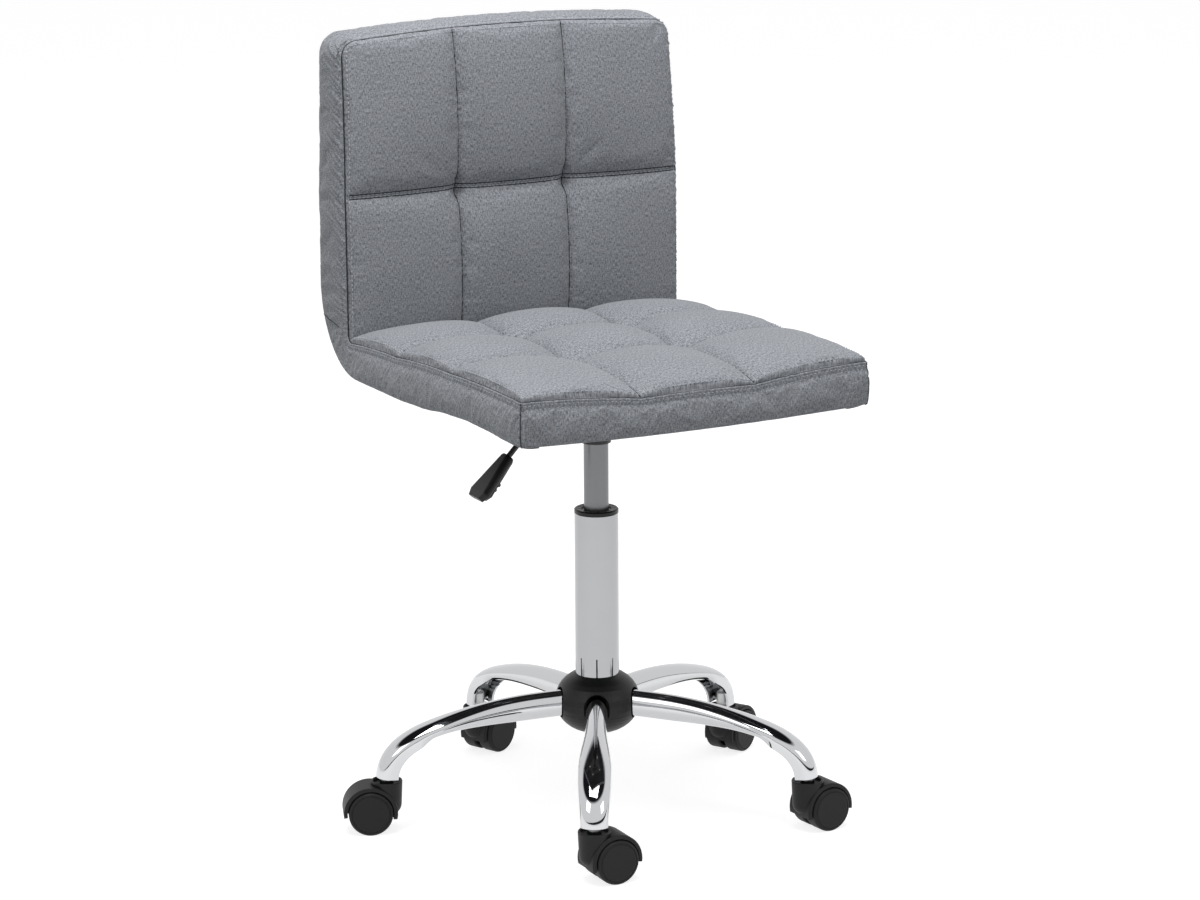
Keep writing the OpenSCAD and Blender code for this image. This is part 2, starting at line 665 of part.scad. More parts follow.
module t_nuts() {
    color("#b5b7ba") at_bolts() difference() {
        union() {
            translate([0, 0, ply_top - 1.6]) cylinder(r = bolt_d * 1.3, h = 1.6);
            translate([0, 0, ply_z + 2]) cylinder(r = bolt_d / 2 + 1.2, h = ply_t - 2.5);
        }
        translate([0, 0, ply_z]) cylinder(r = bolt_d / 2 + run_gap, h = ply_t - 1.6);
    }
}

module lever_rod() {
    inner_end = 5;
    bend_z = lever_z - lever_bend_r;
    color("#1c1c1d") difference() {
        union() {
            translate([-lever_reach, 0, lever_z]) rotate([0, 90, 0])
                cylinder(r = lever_r, h = lever_reach + inner_end);
            translate([-lever_reach, 0, bend_z]) rotate([90, 0, 0]) rotate([0, 0, 88])
                rotate_extrude(angle = lever_drop + 4) translate([lever_bend_r, 0])
                    circle(lever_r - 0.05, $fn = 32);
            lever_end() rotate([0, 180, 0]) cylinder(r = lever_r, h = lever_len + 14);
            translate([-pivot_x, 0, lever_z]) rotate([90, 0, 0])
                cylinder(r = pivot_sleeve_r, h = 16, center = true);
        }
        translate([-pivot_x, 0, lever_z]) rotate([90, 0, 0])
            cylinder(r = pivot_r + run_gap, h = 20, center = true);
    }
}

// Frame at the end of the lever's bend: -Z runs on down the sloping rod, -X is the grip's
// upper face.
module lever_end() {
    translate([-lever_reach, 0, lever_z - lever_bend_r]) rotate([0, -lever_drop, 0])
        translate([0, 0, lever_bend_r]) rotate([0, 90, 0]) children();
}

module lever_grip() {
    root_w = grip_w * 0.5;
    root_t = grip_t * 0.8;
    color("#202021") lever_end() translate([0, 0, -lever_len]) difference() {
        union() {
            hull() {
                grip_slice(0, root_w - 3, root_t - 2);
                grip_slice(-2, root_w, root_t);
                grip_slice(-grip_len + 8, grip_w, grip_t * 0.62);
                grip_slice(-grip_len, grip_w - 9, grip_t * 0.5);
            }
            hull() {
                translate([grip_t * 0.14, 0, 0]) grip_slice(-3, root_w - 3, root_t - 2);
                translate([grip_t * 0.26, 0, 0]) grip_slice(-grip_len + 11, grip_w - 7, grip_t * 0.7);
                translate([grip_t * 0.2, 0, 0]) grip_slice(-grip_len + 4, grip_w - 12, grip_t * 0.6);
            }
            for (k = [0:2]) translate([grip_t * 0.52, 0, -grip_len + 13 + 7 * k])
                rotate([90, 0, 0]) cylinder(r = 2.4, h = grip_w * 0.5, center = true, $fn = 24);
        }
        translate([0, 0, -14]) cylinder(r = lever_r, h = 20);
    }
}

// Thin rounded plate across the grip, for the hulls.
module grip_slice(z, w, t) {
    for (s = [-1, 1]) translate([0, s * (w - t) / 2, z]) cylinder(r = t / 2, h = 0.4, $fn = 24);
}

// ---------------------------------------------------------------- seat shell
// A slice of a ring round the bend's centre, in the side view. Angles run from -90 under
// the bend to 0 at the rear.
module bend_ring(r0, r1, a0, a1) {
    far = 2 * r1;
    intersection() {
        difference() {
            circle(r1);
            circle(r0);
        }
        polygon([[0, 0], far * [cos(a0), sin(a0)], far * [cos((a0 + a1) / 2), sin((a0 + a1) / 2)],
                 far * [cos(a1), sin(a1)]]);
    }
}

// Stands a side view up, centred on the seat's width.
module side_extrude(w) {
    rotate([90, 0, 90]) linear_extrude(w, center = true) children();
}

module seat_shell() {
    front = seat_y + panel_t + 4;
    color("#c9a878") difference() {
        side_extrude(2 * ply_x) {
            translate([front, ply_z]) square([bend_y - front, ply_t]);
            translate([bend_y, bend_z]) bend_ring(bend_r, bend_out_r, -90, 0);
            translate([bend_y + bend_r, bend_z]) square([ply_t, top_z - 10 - bend_z]);
        }
        at_bolts() {
            translate([0, 0, ply_z - 1]) cylinder(r = bolt_d / 2 + 1.2, h = ply_t + 2);
            translate([0, 0, ply_top - 1.6]) cylinder(r = bolt_d * 1.3, h = 5);
        }
    }
}

cover_angle = -asin((bend_z - rear_panel_z) / bend_out_r);

module dust_cover() {
    front = seat_y + 25;
    color("#18181a") difference() {
        side_extrude(2 * (ply_x - 6)) {
            translate([front, ply_z - cloth_t]) square([bend_y - front, cloth_t]);
            translate([bend_y, bend_z])
                bend_ring(bend_out_r, bend_out_r + cloth_t, -90, cover_angle);
        }
        at_bolts() translate([0, 0, ply_z - 3]) cylinder(r = bolt_d / 2 + 0.3, h = 5);
    }
}

// ---------------------------------------------------------------- upholstery
// Height of the quilting over its seams at a place v between the lines, 0 to 1.
function in_cell(v, lines, i = 0) = v <= lines[i + 1] || i >= len(lines) - 2
    ? (v - lines[i]) / (lines[i + 1] - lines[i]) : in_cell(v, lines, i + 1);
function bulge(v, lines) = let (t = in_cell(v, lines)) 4 * max(t * (1 - t), 0);
function quilt(u, us, v, vs) = pow(bulge(u, us) * bulge(v, vs), 0.42);

// Places along a run of quilting lines: n steps in each square.
function steps(lines, n) = concat([lines[0]], [for (i = [0:len(lines) - 2]) for (k = [1:n])
    mix(lines[i], lines[i + 1], k / n)]);

function shell_floor(y) = y <= bend_y ? ply_top
    : bend_z - sqrt(pow(bend_r - fold_clear, 2) - pow(y - bend_y, 2));
function shell_face(z) = z >= bend_z ? bend_y + bend_r
    : bend_y + sqrt(pow(bend_r - fold_clear, 2) - pow(bend_z - z, 2));

// Half widths of the cushions: along the seat and up the back. The back's face leans above
// its cross seam.
function side_x(y) = pad_x + flare * min(max((y - quilt_rows[0]) / (back_y - quilt_rows[0]), 0), 1);
function above(z) = max((z - split_z) / (top_z - split_z), 0);
function back_x(z) = pad_x + flare - top_taper * above(z);
function back_seam(z) = back_y + back_lean * above(z);
function seat_seam(y) = mix(seam_z, junction_z, smooth((y - quilt_places[0]) / (back_y - quilt_places[0])));
function cols(x) = [-x, -quilt_x, quilt_x, x];
// The rearmost squares of the seat are the fullest.
function rise_at(y) = seat_rise * (1 + 0.45 * smooth((y - quilt_places[1]) / 60));

module seat_cushion() {
    color("#8a9098") loft([for (y = steps(quilt_rows, 8)) let (w = side_x(y) - foam_gap, xs = steps(cols(w), 6))
        concat([[-w, y, shell_floor(y)], [w, y, shell_floor(y)]],
            [for (i = [len(xs) - 1:-1:0])
                [xs[i], y, seat_seam(y) + rise_at(y) * quilt(xs[i], cols(w), y, quilt_rows)]])]);
}

// Half width of the back at a height, with a corner of radius r under the height top.
function edge_x(z, r, top) = back_x(min(z, top_z))
    - (z > top - r ? r - sqrt(max(r * r - pow(z - top + r, 2), 0)) : 0);
function corner_zs(r, top) = [for (k = [0:8]) top - r + r * sin(90 * k / 8)];

module back_cushion() {
    r = corner_r - panel_t + fold_clear;
    zs = concat([junction_z - 5], [for (z = steps(back_rows, 9)) if (z < top_z - r - 2) z],
                corner_zs(r, top_z));
    color("#848a92") loft([for (z = zs) let (w = edge_x(z, r, top_z) - foam_gap, xs = steps(cols(w), 6),
        v = max(z, junction_z))
        concat([[w, shell_face(z), z], [-w, shell_face(z), z]],
            [for (x = xs) [x, back_seam(z) - back_rise * quilt(x, cols(w), v, back_rows), z]])]);
}

// Side view of the whole upholstery. Its lower edge rises in a shallow arch under the thighs.
hem_rise = 9;
module side_outline() {
    r = rear_y - bend_y;
    run = bend_y - seat_y;
    top = top_z + panel_t;
    polygon(concat(
        [for (k = [0:12]) let (t = k / 12)
            [seat_y + run * t, hem_z + hem_rise * pow(sin(180 * min(t / 0.7, 1)), 0.8)]],
        [for (a = [-82.5:7.5:0]) [bend_y + r * cos(a), bend_z + r * sin(a)]],
        [[rear_y, top], [back_seam(top), top], [back_y, split_z]],
        [for (k = [8:-1:0]) let (y = mix(quilt_places[0], back_y, k / 8)) [y, seat_seam(y)]],
        [[seat_y, seam_z]]));
}

// Front view of the back: narrower and rounded at the top.
module back_front_view(inset) {
    r = corner_r - inset;
    top = top_z + panel_t - inset;
    zs = concat([0, split_z], corner_zs(r, top));
    polygon(concat([for (z = zs) [edge_x(z, r, top) + panel_t - inset, z]],
        [for (k = [len(zs) - 1:-1:0]) [-edge_x(zs[k], r, top) - panel_t + inset, zs[k]]]));
}

// View from above of the sides, in by an inset.
module seat_plan(inset, r) {
    x0 = pad_x + panel_t - inset;
    x1 = x0 + flare;
    y0 = seat_y + inset;
    right = concat([for (a = [-90:15:0]) [x0 - r + r * cos(a), y0 + r + r * sin(a)]],
        [[x1, back_y], [x1, rear_y + 3]]);
    polygon(concat(right, [for (k = [len(right) - 1:-1:0]) [-right[k].x, right[k].y]]));
}

// The band of fabric and padding round the cushions: sides, front and top in one piece.
module boxing() {
    tall = top_z + 2 * panel_t;
    color("#7e848c") difference() {
        intersection() {
            side_extrude(seat_w + 2 * flare + 2) side_outline();
            translate([0, rear_y + 1, 0]) rotate([90, 0, 0])
                linear_extrude(seat_depth + back_t + 2) back_front_view(0);
            linear_extrude(tall) seat_plan(0, 10);
        }
        intersection() {
            translate([0, rear_y + 2, 0]) rotate([90, 0, 0])
                linear_extrude(seat_depth + back_t + 2 - panel_t) back_front_view(panel_t);
            linear_extrude(tall) seat_plan(panel_t, 0.01);
        }
    }
}

module rear_panel() {
    r = rear_y - bend_y;
    color("#7a8088") intersection() {
        side_extrude(seat_w) {
            translate([bend_y, bend_z]) bend_ring(bend_out_r, r, cover_angle, 0);
            translate([ply_rear, bend_z]) square([rear_t, top_z - bend_z]);
        }
        translate([0, rear_y + 2, 0]) rotate([90, 0, 0]) linear_extrude(back_t)
            back_front_view(panel_t + 0.2);
    }
}

hub_socket();
hub_cover_upper();
hub_cover_lower();
for (i = [1:5]) leg(i);
caster_sockets();
for (i = [1:5]) caster_stem(i);
column_tube();
guide_bush();
thrust_bearing();
buffer();
retaining_clip();
piston_rod();
piston();
gas_cylinder();
valve_button();
seat_fitting();
plate_bolts();
t_nuts();
lever_pivot();
lever_rod();
lever_grip();
seat_shell();
seat_cushion();
back_cushion();
boxing();
rear_panel();
dust_cover();
for (i = [1:5]) caster_hood(i);
for (i = [1:5]) caster_axle(i);
for (i = [1:5]) wheel(i, 1);
for (i = [1:5]) wheel(i, -1);
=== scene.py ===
"""Armless swivel chair: the looks of its upholstery, chromed base, gas lift and casters."""

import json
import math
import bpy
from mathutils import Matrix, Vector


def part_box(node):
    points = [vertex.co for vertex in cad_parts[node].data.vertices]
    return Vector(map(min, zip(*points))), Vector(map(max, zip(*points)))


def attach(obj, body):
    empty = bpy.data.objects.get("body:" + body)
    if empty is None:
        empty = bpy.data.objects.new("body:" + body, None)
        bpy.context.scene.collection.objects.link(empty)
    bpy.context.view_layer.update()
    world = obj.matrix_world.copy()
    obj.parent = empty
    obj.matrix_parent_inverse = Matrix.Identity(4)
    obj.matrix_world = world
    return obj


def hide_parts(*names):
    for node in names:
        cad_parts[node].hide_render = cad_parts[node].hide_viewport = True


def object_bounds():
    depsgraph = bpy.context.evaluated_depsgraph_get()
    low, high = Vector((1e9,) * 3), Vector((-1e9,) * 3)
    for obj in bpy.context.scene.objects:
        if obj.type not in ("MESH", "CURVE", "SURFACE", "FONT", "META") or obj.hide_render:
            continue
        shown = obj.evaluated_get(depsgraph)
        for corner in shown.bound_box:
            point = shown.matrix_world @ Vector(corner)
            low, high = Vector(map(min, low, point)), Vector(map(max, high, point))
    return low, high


bl_info = {
    "name": "Quilted Swivel Chair",
    "version": (1, 0, 0),
    "blender": (4, 5, 0),
    "location": "3D View > Sidebar > Chair",
    "description": "Dresses a packed swivel chair with quilted upholstery, chrome and plastics",
    "category": "Add Mesh",
}

import bpy
import numpy as np
from mathutils import Matrix, Vector

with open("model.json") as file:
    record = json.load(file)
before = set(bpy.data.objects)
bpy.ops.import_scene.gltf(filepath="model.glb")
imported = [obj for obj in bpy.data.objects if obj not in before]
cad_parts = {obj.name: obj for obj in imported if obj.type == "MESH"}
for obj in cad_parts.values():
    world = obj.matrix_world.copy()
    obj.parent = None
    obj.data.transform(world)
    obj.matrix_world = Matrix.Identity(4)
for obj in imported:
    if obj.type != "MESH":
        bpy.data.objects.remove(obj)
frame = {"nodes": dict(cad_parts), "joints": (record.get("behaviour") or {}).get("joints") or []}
cad_low, cad_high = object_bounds()
nodes = frame["nodes"]

MM = 0.001
WHEEL_SIDES = ("left", "right")
CASTERS = range(1, 6)


# ---------------------------------------------------------------- sizes taken from the frame
def low(node):
    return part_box(node)[0]


def high(node):
    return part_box(node)[1]


def joint(name):
    return next(j for j in frame["joints"] if j["name"] == name)


FRONT = low("boxing").y + 4 * MM
TOP = high("back_cushion").z
JUNCTION = low("back_cushion").z + 5 * MM
SHELL_UNDER = low("seat_shell").z
SHELL_REAR = high("seat_shell").y
REAR_LOW = low("rear_panel").z
REAR_FACE = high("rear_panel").y - 4 * MM
BEND_Y = high("rear_panel").y - 103 * MM
BEND_Z = SHELL_UNDER + SHELL_REAR - BEND_Y
HUB_Z = (high("hub_socket").z + low("hub_socket").z) / 2


class UpholsterySizes(bpy.types.PropertyGroup):
    """Sizes of the quilting, the seams and the fabric."""

    seam_height: bpy.props.FloatProperty(
        name="Seam height", description="Height of the seam round the seat",
        default=SHELL_UNDER + 47 * MM, unit="LENGTH")
    junction: bpy.props.FloatProperty(
        name="Junction height", description="Height at which seat and back meet",
        default=JUNCTION + 2 * MM, unit="LENGTH")
    half: bpy.props.FloatProperty(
        name="Half width", description="Half width of the seat at its front seam",
        default=210 * MM, unit="LENGTH")
    flare: bpy.props.FloatProperty(
        name="Flare", description="How much wider each side is at the back",
        default=2.5 * MM, unit="LENGTH")
    top_taper: bpy.props.FloatProperty(
        name="Top taper", description="How much each side comes in at the top",
        default=5 * MM, unit="LENGTH")
    face: bpy.props.FloatProperty(
        name="Back seam", description="Place of the back's face seam", default=200 * MM,
        unit="LENGTH")
    lean: bpy.props.FloatProperty(
        name="Lean", description="How far the back leans above its cross seam",
        default=14 * MM, unit="LENGTH")
    top_rise: bpy.props.FloatProperty(
        name="Top arch", description="Rise of the back's top seam in its middle",
        default=9 * MM, unit="LENGTH")
    quilt_x: bpy.props.FloatProperty(
        name="Quilting, across",
        description="Distance of the long quilting lines from the middle",
        default=69 * MM, unit="LENGTH")
    quilt_y: bpy.props.FloatVectorProperty(
        name="Quilting, along", description="Places of the cross lines on the seat",
        default=(-67 * MM, 68 * MM), size=2, unit="LENGTH")
    quilt_z: bpy.props.FloatProperty(
        name="Quilting, back", description="Height of the cross line on the back",
        default=JUNCTION + 166 * MM, unit="LENGTH")
    seam_strip: bpy.props.FloatProperty(
        name="Seam strip", description="Flat strip that is sewn down along the cross line",
        default=5 * MM, unit="LENGTH")
    seat_fill: bpy.props.FloatProperty(
        name="Seat fill", description="Fullness of the seat's squares", default=1.0,
        subtype="FACTOR")
    back_fill: bpy.props.FloatProperty(
        name="Back fill", description="Fullness of the back's squares", default=1.0,
        subtype="FACTOR")
    band_swell: bpy.props.FloatProperty(
        name="Band fill", description="How far the side band stands out from its seam",
        default=3.6 * MM, unit="LENGTH")
    corner: bpy.props.FloatProperty(
        name="Corner radius", description="Radius of the back's upper seam corners",
        default=18 * MM, unit="LENGTH")
    groove: bpy.props.FloatProperty(
        name="Seam depth", description="Depth of a seam's groove", default=2.6 * MM,
        unit="LENGTH")
    cell: bpy.props.FloatProperty(
        name="Mesh size", description="Spacing of the fabric's mesh", default=3.2 * MM,
        unit="LENGTH")
    top_stitch: bpy.props.FloatVectorProperty(
        name="Top stitching", description="Distances of the two stitch rows from the seam",
        default=(4.2 * MM, 8.6 * MM), size=2, unit="LENGTH")
    stitch_length: bpy.props.FloatProperty(
        name="Stitch length", description="Length of one stitch", default=3.6 * MM,
        unit="LENGTH")
    thread: bpy.props.FloatProperty(
        name="Thread", description="Thickness of the sewing thread", default=1.05 * MM,
        unit="LENGTH")


class FinishColours(bpy.types.PropertyGroup):
    """Colours of the fabric, plastics and metals as sRGB hex values."""

    fabric: bpy.props.StringProperty(
        name="Fabric", description="Weave's lighter yarn", default="#9ea1a6")
    fabric_dark: bpy.props.StringProperty(
        name="Fabric, dark yarn", description="Weave's darker yarn", default="#54575d")
    thread: bpy.props.StringProperty(
        name="Thread", description="Sewing thread", default="#a2a7ae")
    black: bpy.props.StringProperty(
        name="Black plastic", description="Hub, hoods and grip", default="#0a0b0b")
    chrome: bpy.props.StringProperty(
        name="Chrome", description="Plated legs and base", default="#c6c7c9")


class LegSizes(bpy.types.PropertyGroup):
    """Sizes of the bent and pressed leg tubes."""

    start: bpy.props.FloatProperty(
        name="Start", description="Where a leg begins, beside the hub's socket",
        default=30.35 * MM, unit="LENGTH")
    reach: bpy.props.FloatProperty(
        name="Reach", description="Distance from the column to a caster's stem",
        default=math.hypot(*joint("caster_swivel_1")["pos_m"][:2]), unit="LENGTH")
    end_z: bpy.props.FloatProperty(
        name="End height", description="Height of a leg's open end",
        default=low("leg_1").z, unit="LENGTH")
    tube: bpy.props.FloatVectorProperty(
        name="Tube", description="Width and height beside the hub",
        default=(25 * MM, 30.5 * MM), size=2, unit="LENGTH")
    knee: bpy.props.FloatVectorProperty(
        name="Knee", description="Width and height at the bend",
        default=(36.5 * MM, 18.5 * MM), size=2, unit="LENGTH")
    toe: bpy.props.FloatVectorProperty(
        name="Toe", description="Width and height at the end",
        default=(30.5 * MM, 22 * MM), size=2, unit="LENGTH")
    wall: bpy.props.FloatProperty(
        name="Wall", description="Doubled wall of the pressed end", default=2.9 * MM,
        unit="LENGTH")


class StudioSizes(bpy.types.PropertyGroup):
    """Camera and light."""

    distance: bpy.props.FloatProperty(
        name="Camera distance", description="Level distance from the column",
        default=4.1586, unit="LENGTH")
    height: bpy.props.FloatProperty(
        name="Camera height", description="Height over the floor", default=1.4316, unit="LENGTH")
    side: bpy.props.FloatProperty(
        name="Camera side", description="Angle round the column from the front",
        default=math.radians(27.5), subtype="ANGLE")
    pan: bpy.props.FloatProperty(
        name="Camera pan", description="Turn past the column", default=math.radians(0.062),
        subtype="ANGLE")
    tilt: bpy.props.FloatProperty(
        name="Camera tilt", description="Tilt below level", default=math.radians(13.65),
        subtype="ANGLE")
    roll: bpy.props.FloatProperty(
        name="Camera roll", description="Roll round the line of sight",
        default=math.radians(-0.33), subtype="ANGLE")
    lens: bpy.props.FloatProperty(
        name="Lens", description="Focal length in millimetres", default=114.43)


# ---------------------------------------------------------------- small helpers
def linear(hex_value):
    """sRGB hex value as a linear RGBA colour."""
    out = []
    for k in (1, 3, 5):
        c = int(hex_value[k:k + 2], 16) / 255
        out.append(c / 12.92 if c <= 0.04045 else ((c + 0.055) / 1.055) ** 2.4)
    return (*out, 1.0)


def ease(t):
    t = np.clip(t, 0, 1)
    return t * t * (3 - 2 * t)


def unit(v):
    v = np.asarray(v, float)
    return v / np.maximum(np.linalg.norm(v, axis=-1, keepdims=True), 1e-9)


def add(tree, kind, inputs=None, **settings):
    """Adds a node with its settings, and links or values for its sockets."""
    node = tree.nodes.new(kind)
    for name, value in settings.items():
        setattr(node, name, value)
    for name, value in (inputs or {}).items():
        if isinstance(value, bpy.types.NodeSocket):
            tree.links.new(value, node.inputs[name])
        else:
            node.inputs[name].default_value = value
    return node


def new_object(name, points, faces, material=None, uv=None, smooth=True):
    """Mesh object from points, faces and, where given, one UV pair for each point."""
    mesh = bpy.data.meshes.new(name)
    mesh.from_pydata([tuple(map(float, p)) for p in points], [], [tuple(f) for f in faces])
    mesh.update()
    mesh.polygons.foreach_set("use_smooth", [smooth] * len(mesh.polygons))
    if uv is not None:
        layer = mesh.uv_layers.new(name="weave")
        corner = np.zeros(len(mesh.loops), np.int32)
        mesh.loops.foreach_get("vertex_index", corner)
        layer.data.foreach_set("uv", np.asarray(uv, np.float32)[corner].ravel())
    if material:
        mesh.materials.append(material)
    piece = bpy.data.objects.new(name, mesh)
    bpy.context.scene.collection.objects.link(piece)
    return piece


def grid_faces(rows, cols, loop=False):
    """Quads of a grid of points; loop joins its last row to its first."""
    r = np.arange(rows if loop else rows - 1)
    c = np.arange(cols - 1)
    a = (r[:, None] * cols + c).ravel()
    b = (((r[:, None] + 1) % rows) * cols + c).ravel()
    return np.stack([a, a + 1, b + 1, b], 1)


def coords(piece):
    co = np.zeros(len(piece.data.vertices) * 3, np.float32)
    piece.data.vertices.foreach_get("co", co)
    return co.reshape(-1, 3).astype(float)


def set_coords(piece, points):
    piece.data.vertices.foreach_set("co", np.asarray(points, np.float32).ravel())
    piece.data.update()


def inflate(piece, sewn, pressure, spare, frames, limit):
    """Cloth under pressure from the foam: sewn points stay, the rest swells and puckers."""
    scene = bpy.context.scene
    rest = coords(piece)
    group = piece.vertex_groups.new(name="sewn")
    group.add([int(i) for i in np.flatnonzero(sewn)], 1.0, "REPLACE")
    cloth = piece.modifiers.new("foam", "CLOTH")
    settings = cloth.settings
    settings.quality = 6
    settings.mass = 0.25
    settings.tension_stiffness = 18
    settings.compression_stiffness = 18
    settings.shear_stiffness = 8
    settings.bending_stiffness = 0.35
    settings.air_damping = 4
    settings.use_pressure = True
    settings.uniform_pressure_force = pressure
    settings.shrink_min = -spare
    settings.vertex_group_mass = "sewn"
    settings.effector_weights.gravity = 0
    cloth.collision_settings.use_collision = False
    cloth.point_cache.frame_start = 1
    cloth.point_cache.frame_end = frames
    for f in range(1, frames + 1):
        scene.frame_set(f)
    shaped = piece.evaluated_get(bpy.context.evaluated_depsgraph_get())
    moved = np.zeros(len(rest) * 3, np.float32)
    shaped.data.vertices.foreach_get("co", moved)
    step = moved.reshape(-1, 3) - rest
    size = np.linalg.norm(step, axis=1, keepdims=True)
    step *= np.minimum(1, limit / np.maximum(size, 1e-9))
    piece.modifiers.remove(cloth)
    piece.vertex_groups.remove(group)
    set_coords(piece, rest + step)
    scene.frame_set(1)


# ---------------------------------------------------------------- materials
def new_material(name):
    material = bpy.data.materials.new(name)
    material.use_nodes = True
    tree = material.node_tree
    tree.nodes.clear()
    shader = add(tree, "ShaderNodeBsdfPrincipled")
    add(tree, "ShaderNodeOutputMaterial", {"Surface": shader.outputs["BSDF"]})
    return material, tree, shader


def woven_polyester():
    """Plain weave of melange yarn: light and dark fibres run together along the warp, so the
    cloth reads as short upright streaks under a soft sheen."""
    look = bpy.context.scene.finish_colours
    material, tree, shader = new_material("woven_polyester_melange")
    thread = 1.3 * MM            # yarn is 0.5 mm; drawn coarser, or it would not show
    place = add(tree, "ShaderNodeUVMap", uv_map="weave").outputs["UV"]
    streak = add(tree, "ShaderNodeMapping", {
        "Vector": place, "Scale": (1 / (0.95 * MM), 1 / (3.8 * MM), 1)}).outputs["Vector"]
    fleck = add(tree, "ShaderNodeTexNoise", {
        "Vector": streak, "Scale": 1.0, "Detail": 2.0, "Roughness": 0.6}).outputs["Fac"]
    slub = add(tree, "ShaderNodeMapping", {
        "Vector": place, "Scale": (1 / (3.6 * MM), 1 / (1.2 * MM), 1)}).outputs["Vector"]
    weft = add(tree, "ShaderNodeTexNoise", {
        "Vector": slub, "Scale": 1.0, "Detail": 1.0}).outputs["Fac"]
    cloud = add(tree, "ShaderNodeTexNoise", {
        "Vector": place, "Scale": 14.0, "Detail": 2.0}).outputs["Fac"]
    faint = add(tree, "ShaderNodeMath", {0: weft, 1: 0.45}, operation="MULTIPLY").outputs[0]
    both = add(tree, "ShaderNodeMath", {0: fleck, 1: faint}, operation="ADD").outputs[0]
    mixed = add(tree, "ShaderNodeMapRange", {
        "Value": both, "From Min": 0.47, "From Max": 0.98}).outputs[0]
    shade = add(tree, "ShaderNodeMix", {
        "Factor": 0.12, "A": mixed, "B": cloud}, data_type="FLOAT").outputs[0]
    colour = add(tree, "ShaderNodeValToRGB", {"Fac": shade})
    colour.color_ramp.elements[0].color = linear(look.fabric_dark)
    colour.color_ramp.elements[1].color = linear(look.fabric)
    colour.color_ramp.elements[0].position = 0.12
    colour.color_ramp.elements[1].position = 0.80
    tree.links.new(colour.outputs["Color"], shader.inputs["Base Color"])
    warp = add(tree, "ShaderNodeTexWave", {
        "Vector": place, "Scale": 0.31416 / thread, "Distortion": 0.6},
        wave_type="BANDS", bands_direction="X").outputs["Fac"]
    weave = add(tree, "ShaderNodeTexWave", {
        "Vector": place, "Scale": 0.31416 / thread, "Distortion": 0.6},
        wave_type="BANDS", bands_direction="Y").outputs["Fac"]
    lift = add(tree, "ShaderNodeMath", {0: warp, 1: weave}, operation="MULTIPLY").outputs[0]
    height = add(tree, "ShaderNodeMath", {0: lift, 1: fleck}, operation="ADD").outputs[0]
    bump = add(tree, "ShaderNodeBump", {
        "Height": height, "Strength": 0.12, "Distance": 0.35 * MM})
    tree.links.new(bump.outputs["Normal"], shader.inputs["Normal"])
    shader.inputs["Roughness"].default_value = 0.88
    shader.inputs["Specular IOR Level"].default_value = 0.25
    shader.inputs["Sheen Weight"].default_value = 0.18
    shader.inputs["Sheen Roughness"].default_value = 0.45
    return material


def sewing_thread():
    """Twisted polyester thread: fine slanting plies give it a ribbed gleam."""
    look = bpy.context.scene.finish_colours
    material, tree, shader = new_material("polyester_thread_twisted")
    place = add(tree, "ShaderNodeTexCoord").outputs["Object"]
    ply = add(tree, "ShaderNodeTexWave", {
        "Vector": place, "Scale": 0.31416 / (0.8 * MM)}, wave_type="BANDS",
        bands_direction="DIAGONAL").outputs["Fac"]
    bump = add(tree, "ShaderNodeBump", {"Height": ply, "Strength": 0.5, "Distance": 0.2 * MM})
    tree.links.new(bump.outputs["Normal"], shader.inputs["Normal"])
    shader.inputs["Base Color"].default_value = linear(look.thread)
    shader.inputs["Roughness"].default_value = 0.6
    return material


def seam_shadow():
    """Painted shade for the sewn edge deep in a seam: a near-black colour standing for the shadow
    in the groove.
    """
    material, tree, shader = new_material("woven_polyester_seam_painted_shade")
    place = add(tree, "ShaderNodeTexCoord").outputs["Object"]
    fold_and_painted_shade = add(tree, "ShaderNodeTexNoise", {
        "Vector": place, "Scale": 1 / (3 * MM)}).outputs["Fac"]
    # Painted shade: these near-black colours, mottled by the noise, stand for the shadow down in
    # the seam.
    colour = add(tree, "ShaderNodeValToRGB", {"Fac": fold_and_painted_shade})
    colour.color_ramp.elements[0].color = linear("#15181c")
    colour.color_ramp.elements[1].color = linear("#2c3137")
    tree.links.new(colour.outputs["Color"], shader.inputs["Base Color"])
    shader.inputs["Roughness"].default_value = 0.95
    return material


def nonwoven_cloth():
    """Spunbond dust cover: matt black with a fine felted grain and faint embossed dots."""
    material, tree, shader = new_material("spunbond_polypropylene_black")
    place = add(tree, "ShaderNodeTexCoord").outputs["Object"]
    fibre = add(tree, "ShaderNodeTexNoise", {
        "Vector": place, "Scale": 1 / (2 * MM), "Detail": 4.0}).outputs["Fac"]
    dots = add(tree, "ShaderNodeTexVoronoi", {
        "Vector": place, "Scale": 1 / (3 * MM), "Randomness": 0.15}).outputs["Distance"]
    height = add(tree, "ShaderNodeMath", {0: fibre, 1: dots}, operation="ADD").outputs[0]
    bump = add(tree, "ShaderNodeBump", {"Height": height, "Strength": 0.4, "Distance": 0.2 * MM})
    tree.links.new(bump.outputs["Normal"], shader.inputs["Normal"])
    colour = add(tree, "ShaderNodeValToRGB", {"Fac": fibre})
    colour.color_ramp.elements[0].color = linear("#121214")
    colour.color_ramp.elements[1].color = linear("#222225")
    tree.links.new(colour.outputs["Color"], shader.inputs["Base Color"])
    shader.inputs["Roughness"].default_value = 0.9
    return material


